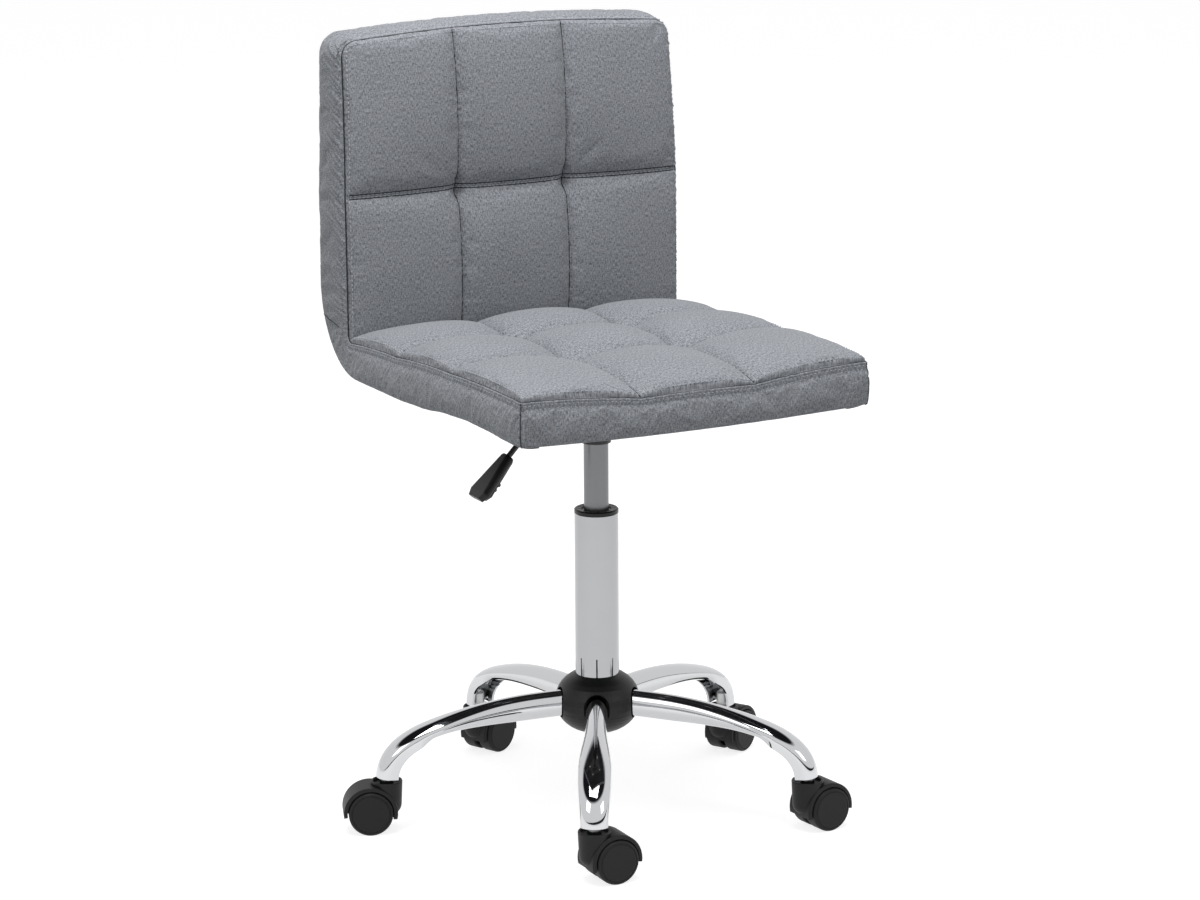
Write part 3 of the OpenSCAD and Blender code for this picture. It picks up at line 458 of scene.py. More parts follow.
def chrome_plate(name, colour, roughness, grain):
    """Polished steel under chrome plate: a near mirror, with faint wipe marks and a slight
    unevenness from the polishing wheel."""
    material, tree, shader = new_material(name)
    place = add(tree, "ShaderNodeTexCoord").outputs["Object"]
    wipe = add(tree, "ShaderNodeTexNoise", {
        "Vector": place, "Scale": 1 / (22 * MM), "Detail": 3.0}).outputs["Fac"]
    rough = add(tree, "ShaderNodeMapRange", {
        "Value": wipe, "From Min": 0.35, "From Max": 0.7,
        "To Min": roughness * 0.7, "To Max": roughness * 1.5}).outputs[0]
    tree.links.new(rough, shader.inputs["Roughness"])
    wave = add(tree, "ShaderNodeTexNoise", {
        "Vector": place, "Scale": 1 / (30 * MM), "Detail": 1.0}).outputs["Fac"]
    bump = add(tree, "ShaderNodeBump", {"Height": wave, "Strength": grain, "Distance": 0.3 * MM})
    tree.links.new(bump.outputs["Normal"], shader.inputs["Normal"])
    shader.inputs["Base Color"].default_value = linear(colour)
    shader.inputs["Metallic"].default_value = 1.0
    return material


def ground_steel(name, colour, roughness):
    """Centreless-ground steel: hair-fine rings run round the rod and spread its highlight."""
    material, tree, shader = new_material(name)
    place = add(tree, "ShaderNodeTexCoord").outputs["Object"]
    rings = add(tree, "ShaderNodeMapping", {
        "Vector": place, "Scale": (40, 40, 1 / (0.7 * MM))}).outputs["Vector"]
    grit = add(tree, "ShaderNodeTexNoise", {"Vector": rings, "Detail": 3.0}).outputs["Fac"]
    rough = add(tree, "ShaderNodeMapRange", {
        "Value": grit, "To Min": roughness * 0.7, "To Max": roughness * 1.3}).outputs[0]
    tree.links.new(rough, shader.inputs["Roughness"])
    bump = add(tree, "ShaderNodeBump", {"Height": grit, "Strength": 0.25, "Distance": 0.05 * MM})
    tree.links.new(bump.outputs["Normal"], shader.inputs["Normal"])
    shader.inputs["Base Color"].default_value = linear(colour)
    shader.inputs["Metallic"].default_value = 1.0
    return material


def zinc_plate():
    """Zinc-plated hardware: a soft grey metal with a cloudy passivated skin."""
    material, tree, shader = new_material("steel_zinc_plated")
    place = add(tree, "ShaderNodeTexCoord").outputs["Object"]
    cloud = add(tree, "ShaderNodeTexNoise", {
        "Vector": place, "Scale": 1 / (6 * MM), "Detail": 4.0}).outputs["Fac"]
    colour = add(tree, "ShaderNodeValToRGB", {"Fac": cloud})
    colour.color_ramp.elements[0].color = linear("#a4a6a8")
    colour.color_ramp.elements[1].color = linear("#d6d7d6")
    tree.links.new(colour.outputs["Color"], shader.inputs["Base Color"])
    rough = add(tree, "ShaderNodeMapRange", {
        "Value": cloud, "To Min": 0.25, "To Max": 0.5}).outputs[0]
    tree.links.new(rough, shader.inputs["Roughness"])
    shader.inputs["Metallic"].default_value = 1.0
    return material


def powder_coat():
    """Black polyester powder coat on steel: a satin skin with a fine orange peel."""
    material, tree, shader = new_material("steel_powder_coated_black")
    place = add(tree, "ShaderNodeTexCoord").outputs["Object"]
    peel = add(tree, "ShaderNodeTexNoise", {
        "Vector": place, "Scale": 1 / (1.8 * MM), "Detail": 1.0}).outputs["Fac"]
    bump = add(tree, "ShaderNodeBump", {"Height": peel, "Strength": 0.3, "Distance": 0.15 * MM})
    tree.links.new(bump.outputs["Normal"], shader.inputs["Normal"])
    shader.inputs["Base Color"].default_value = linear("#1b1b1d")
    shader.inputs["Roughness"].default_value = 0.42
    return material


def moulded_plastic(name, colour, roughness, texture, depth):
    """Moulded plastic with the spark-eroded grain of its tool. Its sharp edges are painted a
    little lighter, as a painted highlight."""
    material, tree, shader = new_material(name)
    place = add(tree, "ShaderNodeTexCoord").outputs["Object"]
    grain = add(tree, "ShaderNodeTexNoise", {
        "Vector": place, "Scale": 1 / texture, "Detail": 3.0, "Roughness": 0.65}).outputs["Fac"]
    bump = add(tree, "ShaderNodeBump", {"Height": grain, "Strength": depth,
                                        "Distance": 0.2 * MM})
    tree.links.new(bump.outputs["Normal"], shader.inputs["Normal"])
    # Painted highlight: sharp edges, found from pointiness, are painted paler than the plastic's
    # own colour.
    edge = add(tree, "ShaderNodeNewGeometry").outputs["Pointiness"]
    painted_edge_highlight = add(tree, "ShaderNodeMapRange", {
        "Value": edge, "From Min": 0.52, "From Max": 0.62, "To Max": 0.55}).outputs[0]
    base = linear(colour)
    highlight_colour = tuple(min(1.0, c * 1.9 + 0.004) for c in base[:3]) + (1.0,)
    tone = add(tree, "ShaderNodeMix", {"Factor": painted_edge_highlight}, data_type="RGBA")
    tone.inputs["A"].default_value = base
    tone.inputs["B"].default_value = highlight_colour
    tree.links.new(tone.outputs["Result"], shader.inputs["Base Color"])
    rough = add(tree, "ShaderNodeMapRange", {
        "Value": grain, "To Min": roughness - 0.06, "To Max": roughness + 0.08}).outputs[0]
    tree.links.new(rough, shader.inputs["Roughness"])
    shader.inputs["Specular IOR Level"].default_value = 0.3
    return material


def beech_ply():
    """Bent beech plywood: fine flecked grain along the seat."""
    material, tree, shader = new_material("beech_plywood_pressed")
    place = add(tree, "ShaderNodeTexCoord").outputs["Object"]
    along = add(tree, "ShaderNodeMapping", {
        "Vector": place, "Scale": (1 / (2 * MM), 1 / (30 * MM), 1 / (1.4 * MM))}).outputs[0]
    grain = add(tree, "ShaderNodeTexNoise", {"Vector": along, "Detail": 4.0}).outputs["Fac"]
    colour = add(tree, "ShaderNodeValToRGB", {"Fac": grain})
    colour.color_ramp.elements[0].color = linear("#a67c52")
    colour.color_ramp.elements[1].color = linear("#d9b98a")
    tree.links.new(colour.outputs["Color"], shader.inputs["Base Color"])
    shader.inputs["Roughness"].default_value = 0.6
    return material


def finish(name):
    """The material of that name, made on first use."""
    look = bpy.context.scene.finish_colours
    makers = {
        "fabric": woven_polyester,
        "thread": sewing_thread,
        # Painted shade: the dark material of the tubes in the seams' grooves.
        "fold_and_painted_shade": seam_shadow,
        "dust_cloth": nonwoven_cloth,
        "leg_chrome": lambda: chrome_plate("steel_chrome_plated_polished", look.chrome,
                                           0.045, 0.05),
        "column_chrome": lambda: chrome_plate("steel_tube_chrome_plated", "#a4a5a7", 0.12, 0.02),
        "cylinder": lambda: ground_steel("steel_cylinder_ground", "#77787a", 0.34),
        "rod": lambda: ground_steel("steel_rod_hard_chromed", "#c9cbce", 0.15),
        "zinc": zinc_plate,
        "powder": powder_coat,
        "hub": lambda: moulded_plastic("polypropylene_hub_moulded", look.black, 0.42,
                                       1.5 * MM, 0.15),
        "bush": lambda: moulded_plastic("acetal_bush_moulded", "#141416", 0.35, 1.2 * MM, 0.08),
        "hood": lambda: moulded_plastic("nylon_hood_moulded", look.black, 0.5, 1.6 * MM, 0.3),
        "wheel": lambda: moulded_plastic("nylon_wheel_moulded", "#0d0e0e", 0.55, 1.6 * MM, 0.3),
        "grip": lambda: moulded_plastic("polypropylene_grip_moulded", "#0c0c0d", 0.4,
                                        1.4 * MM, 0.2),
        "button": lambda: moulded_plastic("acetal_button_moulded", "#c24a28", 0.3,
                                          1.5 * MM, 0.05),
        "rubber": lambda: moulded_plastic("rubber_buffer_moulded", "#1a1a1a", 0.8, 1.5 * MM, 0.3),
        "plywood": beech_ply,
    }
    if name not in made_finishes:
        made_finishes[name] = makers[name]()
    return made_finishes[name]


made_finishes = {}


def paint(finish_name, *names):
    """Gives CAD nodes a material in all their slots."""
    for name in names:
        mesh = nodes[name].data
        mesh.materials.clear()
        mesh.materials.append(finish(finish_name))


# ---------------------------------------------------------------- quilted shapes
def cell_place(values, lines):
    """Number of each value's square between quilting lines, and its place in it, 0 to 1."""
    lines = np.asarray(lines, float)
    k = np.clip(np.searchsorted(lines, values, side="right") - 1, 0, len(lines) - 2)
    return k, np.clip((values - lines[k]) / (lines[k + 1] - lines[k]), 0, 1)


def arch(t):
    return 4 * t * (1 - t)


def dome(t, first, last):
    """Section of a filled square: steep where it meets a seam, steeper still at the border."""
    near = np.where(first, 0.17, 0.30)
    far = np.where(last, 0.17, 0.30)
    return np.power(arch(t), near + (far - near) * ease(t * 1.6 - 0.3))


def quilt(x, y, x_lines, y_lines, level, swell_x, swell_y, rise):
    """Height of quilted foam. Its seams run between the crossings' levels and swell up by
    swell_x and swell_y; each square is filled by its rise above the seams round it."""
    i, u = cell_place(x, x_lines)
    j, v = cell_place(y, y_lines)
    level, swell_x, swell_y = [np.asarray(a, float) for a in (level, swell_x, swell_y)]
    lu, lv = np.power(arch(u), 0.85), np.power(arch(v), 0.85)
    h00, h10, h01, h11 = level[j, i], level[j, i + 1], level[j + 1, i], level[j + 1, i + 1]
    bottom = h00 + (h10 - h00) * u + swell_x[j, i] * lu
    top = h01 + (h11 - h01) * u + swell_x[j + 1, i] * lu
    left = h00 + (h01 - h00) * v + swell_y[j, i] * lv
    right = h10 + (h11 - h10) * v + swell_y[j, i + 1] * lv
    flat = (h00 * (1 - u) + h10 * u) * (1 - v) + (h01 * (1 - u) + h11 * u) * v
    patch = bottom * (1 - v) + top * v + left * (1 - u) + right * u - flat
    fill = (dome(u, i == 0, i == len(x_lines) - 2)
            * dome(v, j == 0, j == len(y_lines) - 2))
    return patch + np.asarray(rise, float)[j, i] * fill


def ripple(place, pitch, seed):
    """Uneven waves along a seam, for gathers and puckers, between -1 and 1."""
    turn = 2 * np.pi * place / pitch
    drift = (1.6 * np.sin(turn * 0.137 + seed) + 1.1 * np.sin(turn * 0.291 + 2.1 * seed)
             + 0.5 * np.sin(turn * 0.577 + 3.7 * seed))
    strength = 0.65 + 0.35 * np.sin(turn * 0.213 + 1.3 * seed)
    return strength * np.sin(turn + drift)


def ticks(lines, spacing):
    """Grid places between quilting lines, twice as close together beside each line."""
    out = []
    for a, b in zip(lines[:-1], lines[1:]):
        n = max(4, round((b - a) / spacing))
        t = np.linspace(0, 1, n + 1)
        t = t - 0.55 * np.sin(2 * np.pi * t) / (2 * np.pi)
        out.extend(list(a + (b - a) * t[:-1]))
    out.append(lines[-1])
    return np.array(out)


def stretch(x, middle, half, wide):
    """Widens the outer squares only: places beyond the middle move so that half is wide."""
    over = np.maximum(np.abs(x) - middle, 0)
    return np.sign(x) * (np.minimum(np.abs(x), middle) + over * (wide - middle) / (half - middle))


def seat_lines():
    s = bpy.context.scene.upholstery
    return ([-s.half, -s.quilt_x, s.quilt_x, s.half],
            [FRONT, s.quilt_y[0], s.quilt_y[1], s.face])


def back_lines():
    s = bpy.context.scene.upholstery
    return [-s.half, -s.quilt_x, s.quilt_x, s.half], [s.junction, s.quilt_z, TOP]


def side_x(y):
    """Half width of the seat's seam: the seat widens towards the back."""
    s = bpy.context.scene.upholstery
    return s.half + s.flare * np.clip((y - FRONT) / (s.face - FRONT), 0, 1)


def above(z):
    s = bpy.context.scene.upholstery
    return np.clip((z - s.quilt_z) / (TOP - s.quilt_z), 0, 1.05)


def back_x(z):
    """Half width of the back's seam: it comes in again above the cross seam."""
    s = bpy.context.scene.upholstery
    return s.half + s.flare - s.top_taper * above(z)


def face_y(z):
    """The back's seams stand upright below the cross seam and lean back above it."""
    s = bpy.context.scene.upholstery
    return s.face + s.lean * above(z) ** 1.3


def tucks(x, y, places, reach, depth):
    """Where two seams cross, the cloth is pulled down into a small pit."""
    out = 0
    for px, py in places:
        out = out + depth * np.exp(-((x - px) ** 2 + (y - py) ** 2) / reach ** 2)
    return out


def puckers(x, y, x_lines, y_lines, amount, reach):
    """Fine creases across the inner seams, strongest at the stitches."""
    out = 0
    for k, line in enumerate(x_lines[1:-1]):
        out = out + np.exp(-np.abs(x - line) / reach) * ripple(y, 8.5 * MM, 1.0 + k)
    for k, line in enumerate(y_lines[1:-1]):
        out = out + np.exp(-np.abs(y - line) / reach) * ripple(x, 9.5 * MM, 4.0 + k)
    out = out + np.exp(-np.abs(np.abs(x) - x_lines[-1]) / reach) * ripple(y, 7.5 * MM, 7.0)
    out = out + np.exp(-np.abs(y - y_lines[0]) / reach) * ripple(x, 7.5 * MM, 9.0)
    out = out + np.exp(-np.abs(y - y_lines[-1]) / reach) * ripple(x, 7.5 * MM, 11.0)
    return amount * out


def seat_shape(x, y):
    """Points of the seat's cloth for places in its flat pattern."""
    s = bpy.context.scene.upholstery
    cols, rows = seat_lines()
    top, low_row = s.seam_height, s.junction - s.seam_height
    level = top + np.array([[3, -7.5, -7.5, 3], [2, -8.5, -8.5, 2],
                            [-6, -11, -11, -6], [0, -4, -4, 0]]) * MM
    level[3] += low_row
    swell_x = np.array([[2.5, 1.5, 2.5], [10, 10, 10], [11, 11, 11], [3, 3, 3]]) * MM
    swell_y = np.array([[2, 10, 10, 2], [2, 10, 10, 2], [2, 13, 13, 2]]) * MM
    rise = np.array([[8.5, 8, 8.5], [8, 7.5, 8], [9, 9, 9]]) * MM
    z = quilt(x, y, cols, rows, level, swell_x, swell_y, rise * s.seat_fill)
    z = z - tucks(x, y, [(px, py) for px in cols[1:3] for py in rows[1:3]], 8 * MM, 4 * MM)
    z = z + puckers(x, y, cols, rows, 0.28 * MM, 9 * MM)
    return np.stack([stretch(x, s.quilt_x, s.half, side_x(y)), y, z], -1)


def top_arch(x):
    """The back's top seam is higher in the middle than at its corners."""
    s = bpy.context.scene.upholstery
    return s.top_rise * (1 - (x / s.half) ** 2) - 0.7 * s.top_rise


def back_shape(x, z):
    """Points of the back's cloth for places in its flat pattern."""
    s = bpy.context.scene.upholstery
    cols, rows = back_lines()
    strip = s.seam_strip
    lifted = np.where(z > s.quilt_z, np.maximum(z - strip, s.quilt_z)
                      + strip * above(z), z)
    level = np.array([[0, -4, -4, 0], [-1, -9, -9, -1], [0, -3, -3, 0]]) * MM
    swell_x = np.array([[3, 3, 3], [5.5, 7, 5.5], [1, 1, 1]]) * MM
    swell_y = np.array([[0.5, 8.5, 8.5, 0.5], [0.5, 7.5, 7.5, 0.5]]) * MM
    rise = np.array([[8, 8, 8], [9, 9, 9]]) * MM
    out = quilt(x, lifted, cols, rows, level, swell_x, swell_y, rise * s.back_fill)
    out = out - tucks(x, z, [(px, s.quilt_z - 5 * MM) for px in cols[1:3]], 8 * MM, 10 * MM)
    out = out - tucks(x, z, [(px, s.quilt_z + 10 * MM) for px in cols[1:3]], 6 * MM, 5 * MM)
    out = out + puckers(x, z, cols, [rows[0], s.quilt_z, rows[2]], 0.4 * MM, 8 * MM)
    r = s.corner
    a, b = np.abs(x) - (s.half - r), z - (TOP - r)
    inside = (a > 0) & (b > 0)
    ca, cb = rounded_corner(np.maximum(a, 0), np.maximum(b, 0), r)
    px = np.where(inside, np.sign(x) * (s.half - r + ca), x)
    pz = np.where(inside, TOP - r + cb, z)
    y = face_y(pz) - out
    pz = pz + top_arch(px) * above(pz)
    return np.stack([stretch(px, s.quilt_x, s.half, back_x(pz)), y, pz], -1)


def rounded_corner(a, b, radius):
    """Maps the corner square of a grid onto a quarter disc."""
    u, v = a / radius, b / radius
    return radius * u * np.sqrt(1 - v * v / 2), radius * v * np.sqrt(1 - u * u / 2)


def close_below(piece, rows, cols, depth):
    """Closes a sheet of cloth, a grid of rows and cols, into a filled cushion: a flat copy
    of the grid at that depth, and walls between the two borders."""
    points = coords(piece)
    faces = np.array([tuple(p.vertices) for p in piece.data.polygons])
    uv = np.zeros((len(points), 2))
    corner = np.zeros(len(piece.data.loops), np.int32)
    piece.data.loops.foreach_get("vertex_index", corner)
    places = np.zeros(len(corner) * 2, np.float32)
    piece.data.uv_layers[0].data.foreach_get("uv", places)
    uv[corner] = places.reshape(-1, 2)
    flat = points + depth
    axis = int(np.argmax(np.abs(depth)))
    border = grid_border(rows, cols)
    inner = np.setdiff1d(np.arange(len(points)), border)
    flat[inner, axis] = flat[border, axis].mean()
    n = len(points)
    walls = [(b, a, a + n, b + n) for a, b in zip(border, border[1:] + border[:1])]
    name, material = piece.name, piece.data.materials[0]
    bpy.data.objects.remove(piece)
    return new_object(name, np.vstack([points, flat]),
                      [*faces.tolist(), *(faces[:, ::-1] + n).tolist(), *walls], material,
                      np.vstack([uv, uv]))


def grid_border(rows, cols):
    """Point numbers round a grid, in order."""
    return ([r * cols for r in range(rows)]
            + [(rows - 1) * cols + c for c in range(1, cols)]
            + [r * cols + cols - 1 for r in range(rows - 2, -1, -1)]
            + [c for c in range(cols - 2, 0, -1)])


def near_line(values, lines, width):
    return np.min(np.abs(values[:, None] - np.asarray(lines)), axis=1) < width


def outer_edge(x, y, x_lines, y_lines):
    return ((np.abs(x) > x_lines[-1] - 1e-6) | (y < y_lines[0] + 1e-6)
            | (y > y_lines[-1] - 1e-6))


class CHAIR_OT_seat_cushion(bpy.types.Operator):
    """Seat: nine squares of foam under one cloth, swollen by a cloth simulation"""
    bl_idname = "chair.seat_cushion"
    bl_label = "Seat cushion"

    def execute(self, context):
        s = context.scene.upholstery
        cols, rows = seat_lines()
        xs, ys = ticks(cols, s.cell), ticks(rows, s.cell)
        y, x = [a.ravel() for a in np.meshgrid(ys, xs, indexing="ij")]
        points = seat_shape(x, y)
        edge = outer_edge(x, y, cols, rows)
        points[edge] += (points[edge] * [-1, -1, 0]) * 0.008 + [0, 0, -s.groove]
        sewn = edge | near_line(x, cols, 0.4 * MM) | near_line(y, rows, 0.4 * MM)
        piece = new_object("seat_cushion_cloth", points, grid_faces(len(ys), len(xs)),
                           finish("fabric"), np.stack([x, y], 1))
        inflate(piece, sewn, 2.0, 0.009, 14, 2 * MM)
        piece = close_below(piece, len(ys), len(xs), np.array([0, 0, -22 * MM]))
        piece.modifiers.new("smooth", "SUBSURF").render_levels = 1
        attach(piece, "seat")
        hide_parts("seat_cushion")
        return {"FINISHED"}


class CHAIR_OT_back_cushion(bpy.types.Operator):
    """Back: six squares of foam under one cloth, with rounded upper corners"""
    bl_idname = "chair.back_cushion"
    bl_label = "Back cushion"

    def execute(self, context):
        s = context.scene.upholstery
        cols, rows = back_lines()
        xs = ticks(cols, s.cell)
        zs = ticks([rows[0], rows[1], rows[1] + s.seam_strip, rows[2]], s.cell)
        z, x = [a.ravel() for a in np.meshgrid(zs, xs, indexing="ij")]
        points = back_shape(x, z)
        edge = outer_edge(x, z, cols, rows)
        points[edge] += [0, s.groove, 0]
        points[edge, 0] *= 0.992
        sewn = (edge | near_line(x, cols, 0.4 * MM)
                | near_line(z, [*rows, rows[1] + s.seam_strip], 0.4 * MM))
        piece = new_object("back_cushion_cloth", points, grid_faces(len(zs), len(xs)),
                           finish("fabric"), np.stack([x, z], 1))
        inflate(piece, sewn, 2.0, 0.009, 14, 2 * MM)
        piece = close_below(piece, len(zs), len(xs), np.array([0, 35 * MM, 0]))
        piece.modifiers.new("smooth", "SUBSURF").render_levels = 1
        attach(piece, "seat")
        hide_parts("back_cushion")
        return {"FINISHED"}


# ---------------------------------------------------------------- side band
def hem_height(y):
    """Lower edge of the band: drawn up in a shallow arch under the thighs."""
    places = np.array([-240, -200, -160, -115, -60, 0, 60, 172]) * MM
    heights = SHELL_UNDER + np.array([1.5, 3, 4.8, 5.8, 3, -3, -5.5, -5.5]) * MM
    k = np.clip(np.searchsorted(places, y, side="right") - 1, 0, len(places) - 2)
    t = np.clip((y - places[k]) / (places[k + 1] - places[k]), 0, 1)
    smooth_t = t * 0.5 + ease(t) * 0.5
    return heights[k] + (heights[k + 1] - heights[k]) * smooth_t


def half_band(spacing):
    """Stations along the band from the front's middle to the top's middle, on the +X side:
    points on the seam, points on the hem and the way the band swells."""
    s = bpy.context.scene.upholstery
    rf, rt, rj = 3 * MM, s.corner, 9 * MM
    run_y, run_z = REAR_FACE - BEND_Y, BEND_Z - hem_height(np.array(BEND_Y))
    seam, hem, out = [], [], []

    def run(length):
        return np.linspace(0, 1, max(3, round(length / spacing)), endpoint=False)

    def seat_seam(x, y):
        return seat_shape(np.array(x), np.array(y))

    def back_seam(x, z):
        return back_shape(np.array(x), np.array(z))

    for t in run(s.half - rf):
        x = t * (s.half - rf)
        p = seat_seam(x, FRONT)
        seam.append(p)
        near = math.exp((x - s.half) / (12 * MM))
        hem.append((p[0] * 1.004 - 3 * MM * near, FRONT + 2 * MM * near,
                    hem_height(np.array(FRONT)) - 4 * MM * (1 - (x / s.half) ** 2)))
        out.append((0, -1, 0))
    for t in run(rf * 3):
        a = math.radians(-90 + 90 * t)
        turned = np.array([rf * math.cos(a), rf + rf * math.sin(a), 0])
        p = seat_seam(s.half, FRONT) - [rf, 0, 0] + turned
        seam.append(p)
        hem.append((p[0] - 2 * MM, p[1] + 2 * MM * (1 - t), hem_height(np.array(FRONT))))
        out.append((math.cos(a), math.sin(a), 0))
    for t in run(BEND_Y - FRONT - rf):
        y = FRONT + rf + t * (BEND_Y - FRONT - rf)
        p = seat_seam(s.half, y)
        seam.append(p)
        near = math.exp((FRONT - y) / (12 * MM))
        hem.append((p[0] + (1 - 3 * near) * MM, y, hem_height(np.array(y))))
        out.append((1, 0, 0))
    low_z = float(seat_seam(s.half, s.face - rj)[2])
    straight, bow = s.face - rj - BEND_Y, rj * math.pi / 2
    rise = BEND_Z - low_z - rj
    total = straight + bow + rise
    for t in run(run_y * 1.5):
        d = t * total
        if d < straight:
            point = seat_seam(s.half, BEND_Y + d)
        elif d < straight + bow:
            a = (d - straight) / rj
            point = np.array([s.half + s.flare, s.face - rj + rj * math.sin(a),
                              low_z + rj - rj * math.cos(a)])
        else:
            point = back_seam(s.half, low_z + rj + d - straight - bow)
        a = math.radians(-90 + 90 * t)
        seam.append(point)
        hem.append((s.half + s.flare - 1 * MM * t, BEND_Y + run_y * math.cos(a),
                    BEND_Z + run_z * math.sin(a)))
        out.append((1, 0, 0))
    for t in run(TOP - rt - BEND_Z):
        p = back_seam(s.half, BEND_Z + t * (TOP - rt - BEND_Z))
        seam.append(p)
        hem.append((p[0] - 1 * MM, REAR_FACE, p[2]))
        out.append((1, 0, 0))
    for t in run(rt * 2.2):
        a = math.radians(90 * t)
        u, v = unit_corner(a)
        p = back_seam(s.half - rt + rt * u, TOP - rt + rt * v)
        seam.append(p)
        hem.append((p[0] - 1 * MM * math.cos(a), REAR_FACE, p[2]))
        out.append((math.cos(a), 0, math.sin(a)))
    for t in run(s.half - rt):
        p = back_seam((1 - t) * (s.half - rt), TOP)
        seam.append(p)
        hem.append((p[0], REAR_FACE, p[2]))
        out.append((0, 0, 1))
    return np.array(seam, float), np.array(hem, float), np.array(out, float)


def unit_corner(a):
    """Place on the border of the unit square that rounded_corner sends to the angle a."""
    if a <= math.pi / 4:
        return 1.0, min(1.0, math.sqrt(2) * math.sin(a))
    return min(1.0, math.sqrt(2) * math.cos(a)), 1.0


def full_band(spacing):
    """Stations of the whole loop, mirrored from one half."""
    flip = np.array([-1, 1, 1])
    parts = []
    for half in half_band(spacing):
        parts.append(np.vstack([half, (half * flip)[:0:-1]]))
    return parts


def band_rows(width, swell):
    """Places across the band from seam to hem, each with its distance out: the cloth comes
    up out of the groove, is held down by two rows of stitches and swells below them."""
    s = bpy.context.scene.upholstery
    first, second = s.top_stitch
    d = np.concatenate([[0, 1.2 * MM, first / 2, first, (first + second) / 2, second],
                        second + (width - second) * np.linspace(0, 1, 21)[1:] ** 1.15])
    lip = np.sqrt(1 - (1 - np.clip(d / (2.5 * MM), 0, 1)) ** 2) * 1.1 * MM
    held = 0.55 * MM * (np.exp(-((d - first) / MM) ** 2) + np.exp(-((d - second) / MM) ** 2))
    body = np.clip((d - second) / (width - second), 0, 1)
    full = swell * np.power(np.clip(arch(body * 0.82), 0, 1), 0.6)
    turn = 1.5 * MM * (1 - np.sqrt(1 - np.clip(1 - (width - d) / (3 * MM), 0, 1) ** 2))
    return d, lip - held + full - turn


def gathers(along, d, upright):
    """Slanting gathers that run from the stitches into the band, strongest on the back."""
    s = bpy.context.scene.upholstery
    past = np.maximum(d - s.top_stitch[0], 0)
    reach = 7 * MM + 9 * MM * upright
    wave = (0.9 * ripple(along + 0.55 * d, 7 * MM, 2.3)
            + 0.5 * ripple(along + 0.8 * d, 15 * MM, 5.1))
    return (0.55 + 2.0 * upright) * MM * wave * np.exp(-past / reach) * ease(d / (3 * MM))


class CHAIR_OT_side_band(bpy.types.Operator):
    """Band: the padded strip round seat and back, gathered along its top stitching"""
    bl_idname = "chair.side_band"
    bl_label = "Side band"

    def execute(self, context):
        s = context.scene.upholstery
        seam, hem, out = full_band(s.cell * 0.62)
        down = unit(hem - seam)
        width = np.linalg.norm(hem - seam, axis=1)
        along = np.concatenate([[0], np.cumsum(np.linalg.norm(
            np.diff((seam + hem) / 2, axis=0), axis=1))])
        upright = ease((seam[:, 2] - s.junction) / (60 * MM)) * np.abs(out[:, 0])
        turned = np.abs(hem[:, 1] - REAR_FACE) < 1 * MM
        n = len(band_rows(0.05, 0)[0])
        points = np.zeros((len(seam), n + 4, 3))
        uv = np.zeros((len(seam), n + 4, 2))
        for k in range(len(seam)):
            d, lift = band_rows(width[k], s.band_swell)
            lift = lift + gathers(along[k], d, upright[k])
            body = seam[k] + np.outer(d, down[k]) + np.outer(lift, out[k])
            start = seam[k] + s.groove * (down[k] - 0.8 * out[k])
            inward = hem[k] + np.array([[-4.0], [-13.0], [-22.0]]) * MM * out[k]
            if hem[k, 1] > BEND_Y and not turned[k]:
                way = unit(hem[k, 1:] - [BEND_Y, BEND_Z])
                inward[1:, 1:] = [BEND_Y, BEND_Z] + way * (SHELL_REAR - BEND_Y + 1.2 * MM)
            elif not turned[k]:
                tucked = SHELL_UNDER - 1.2 * MM
                inward[:, 2] = [hem[k, 2] - 1 * MM, tucked, tucked]
                inward[:, 2] = np.minimum(inward[:, 2], hem[k, 2] - 0.6 * MM)
            points[k] = np.vstack([start, body, inward])
            across = np.concatenate([[-3 * MM], d, width[k] + np.array([4, 13, 22]) * MM])
            uv[k] = np.stack([np.full(n + 4, along[k]), across], 1)
        stitched = np.zeros((len(seam), n + 4), bool)
        stitched[:, [0, 1, 4, 6, -4, -3, -2, -1]] = True
        faces = grid_faces(len(seam), n + 4, loop=True)[:, ::-1]
        piece = new_object("side_band_cloth", points.reshape(-1, 3), faces, finish("fabric"),
                           uv.reshape(-1, 2))
        inflate(piece, stitched.ravel(), 1.0, 0.02, 12, 2 * MM)
        shaped = coords(piece).reshape(len(seam), n + 4, 3)
        band["rows"] = [shaped[:, 4], shaped[:, 6]]
        band["seam"], band["down"], band["out"], band["shape"] = seam, down, out, shaped
        piece.modifiers.new("lining", "SOLIDIFY").thickness = -1.4 * MM
        piece.modifiers.new("smooth", "SUBSURF").render_levels = 1
        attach(piece, "seat")
        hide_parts("boxing")
        return {"FINISHED"}


band = {}


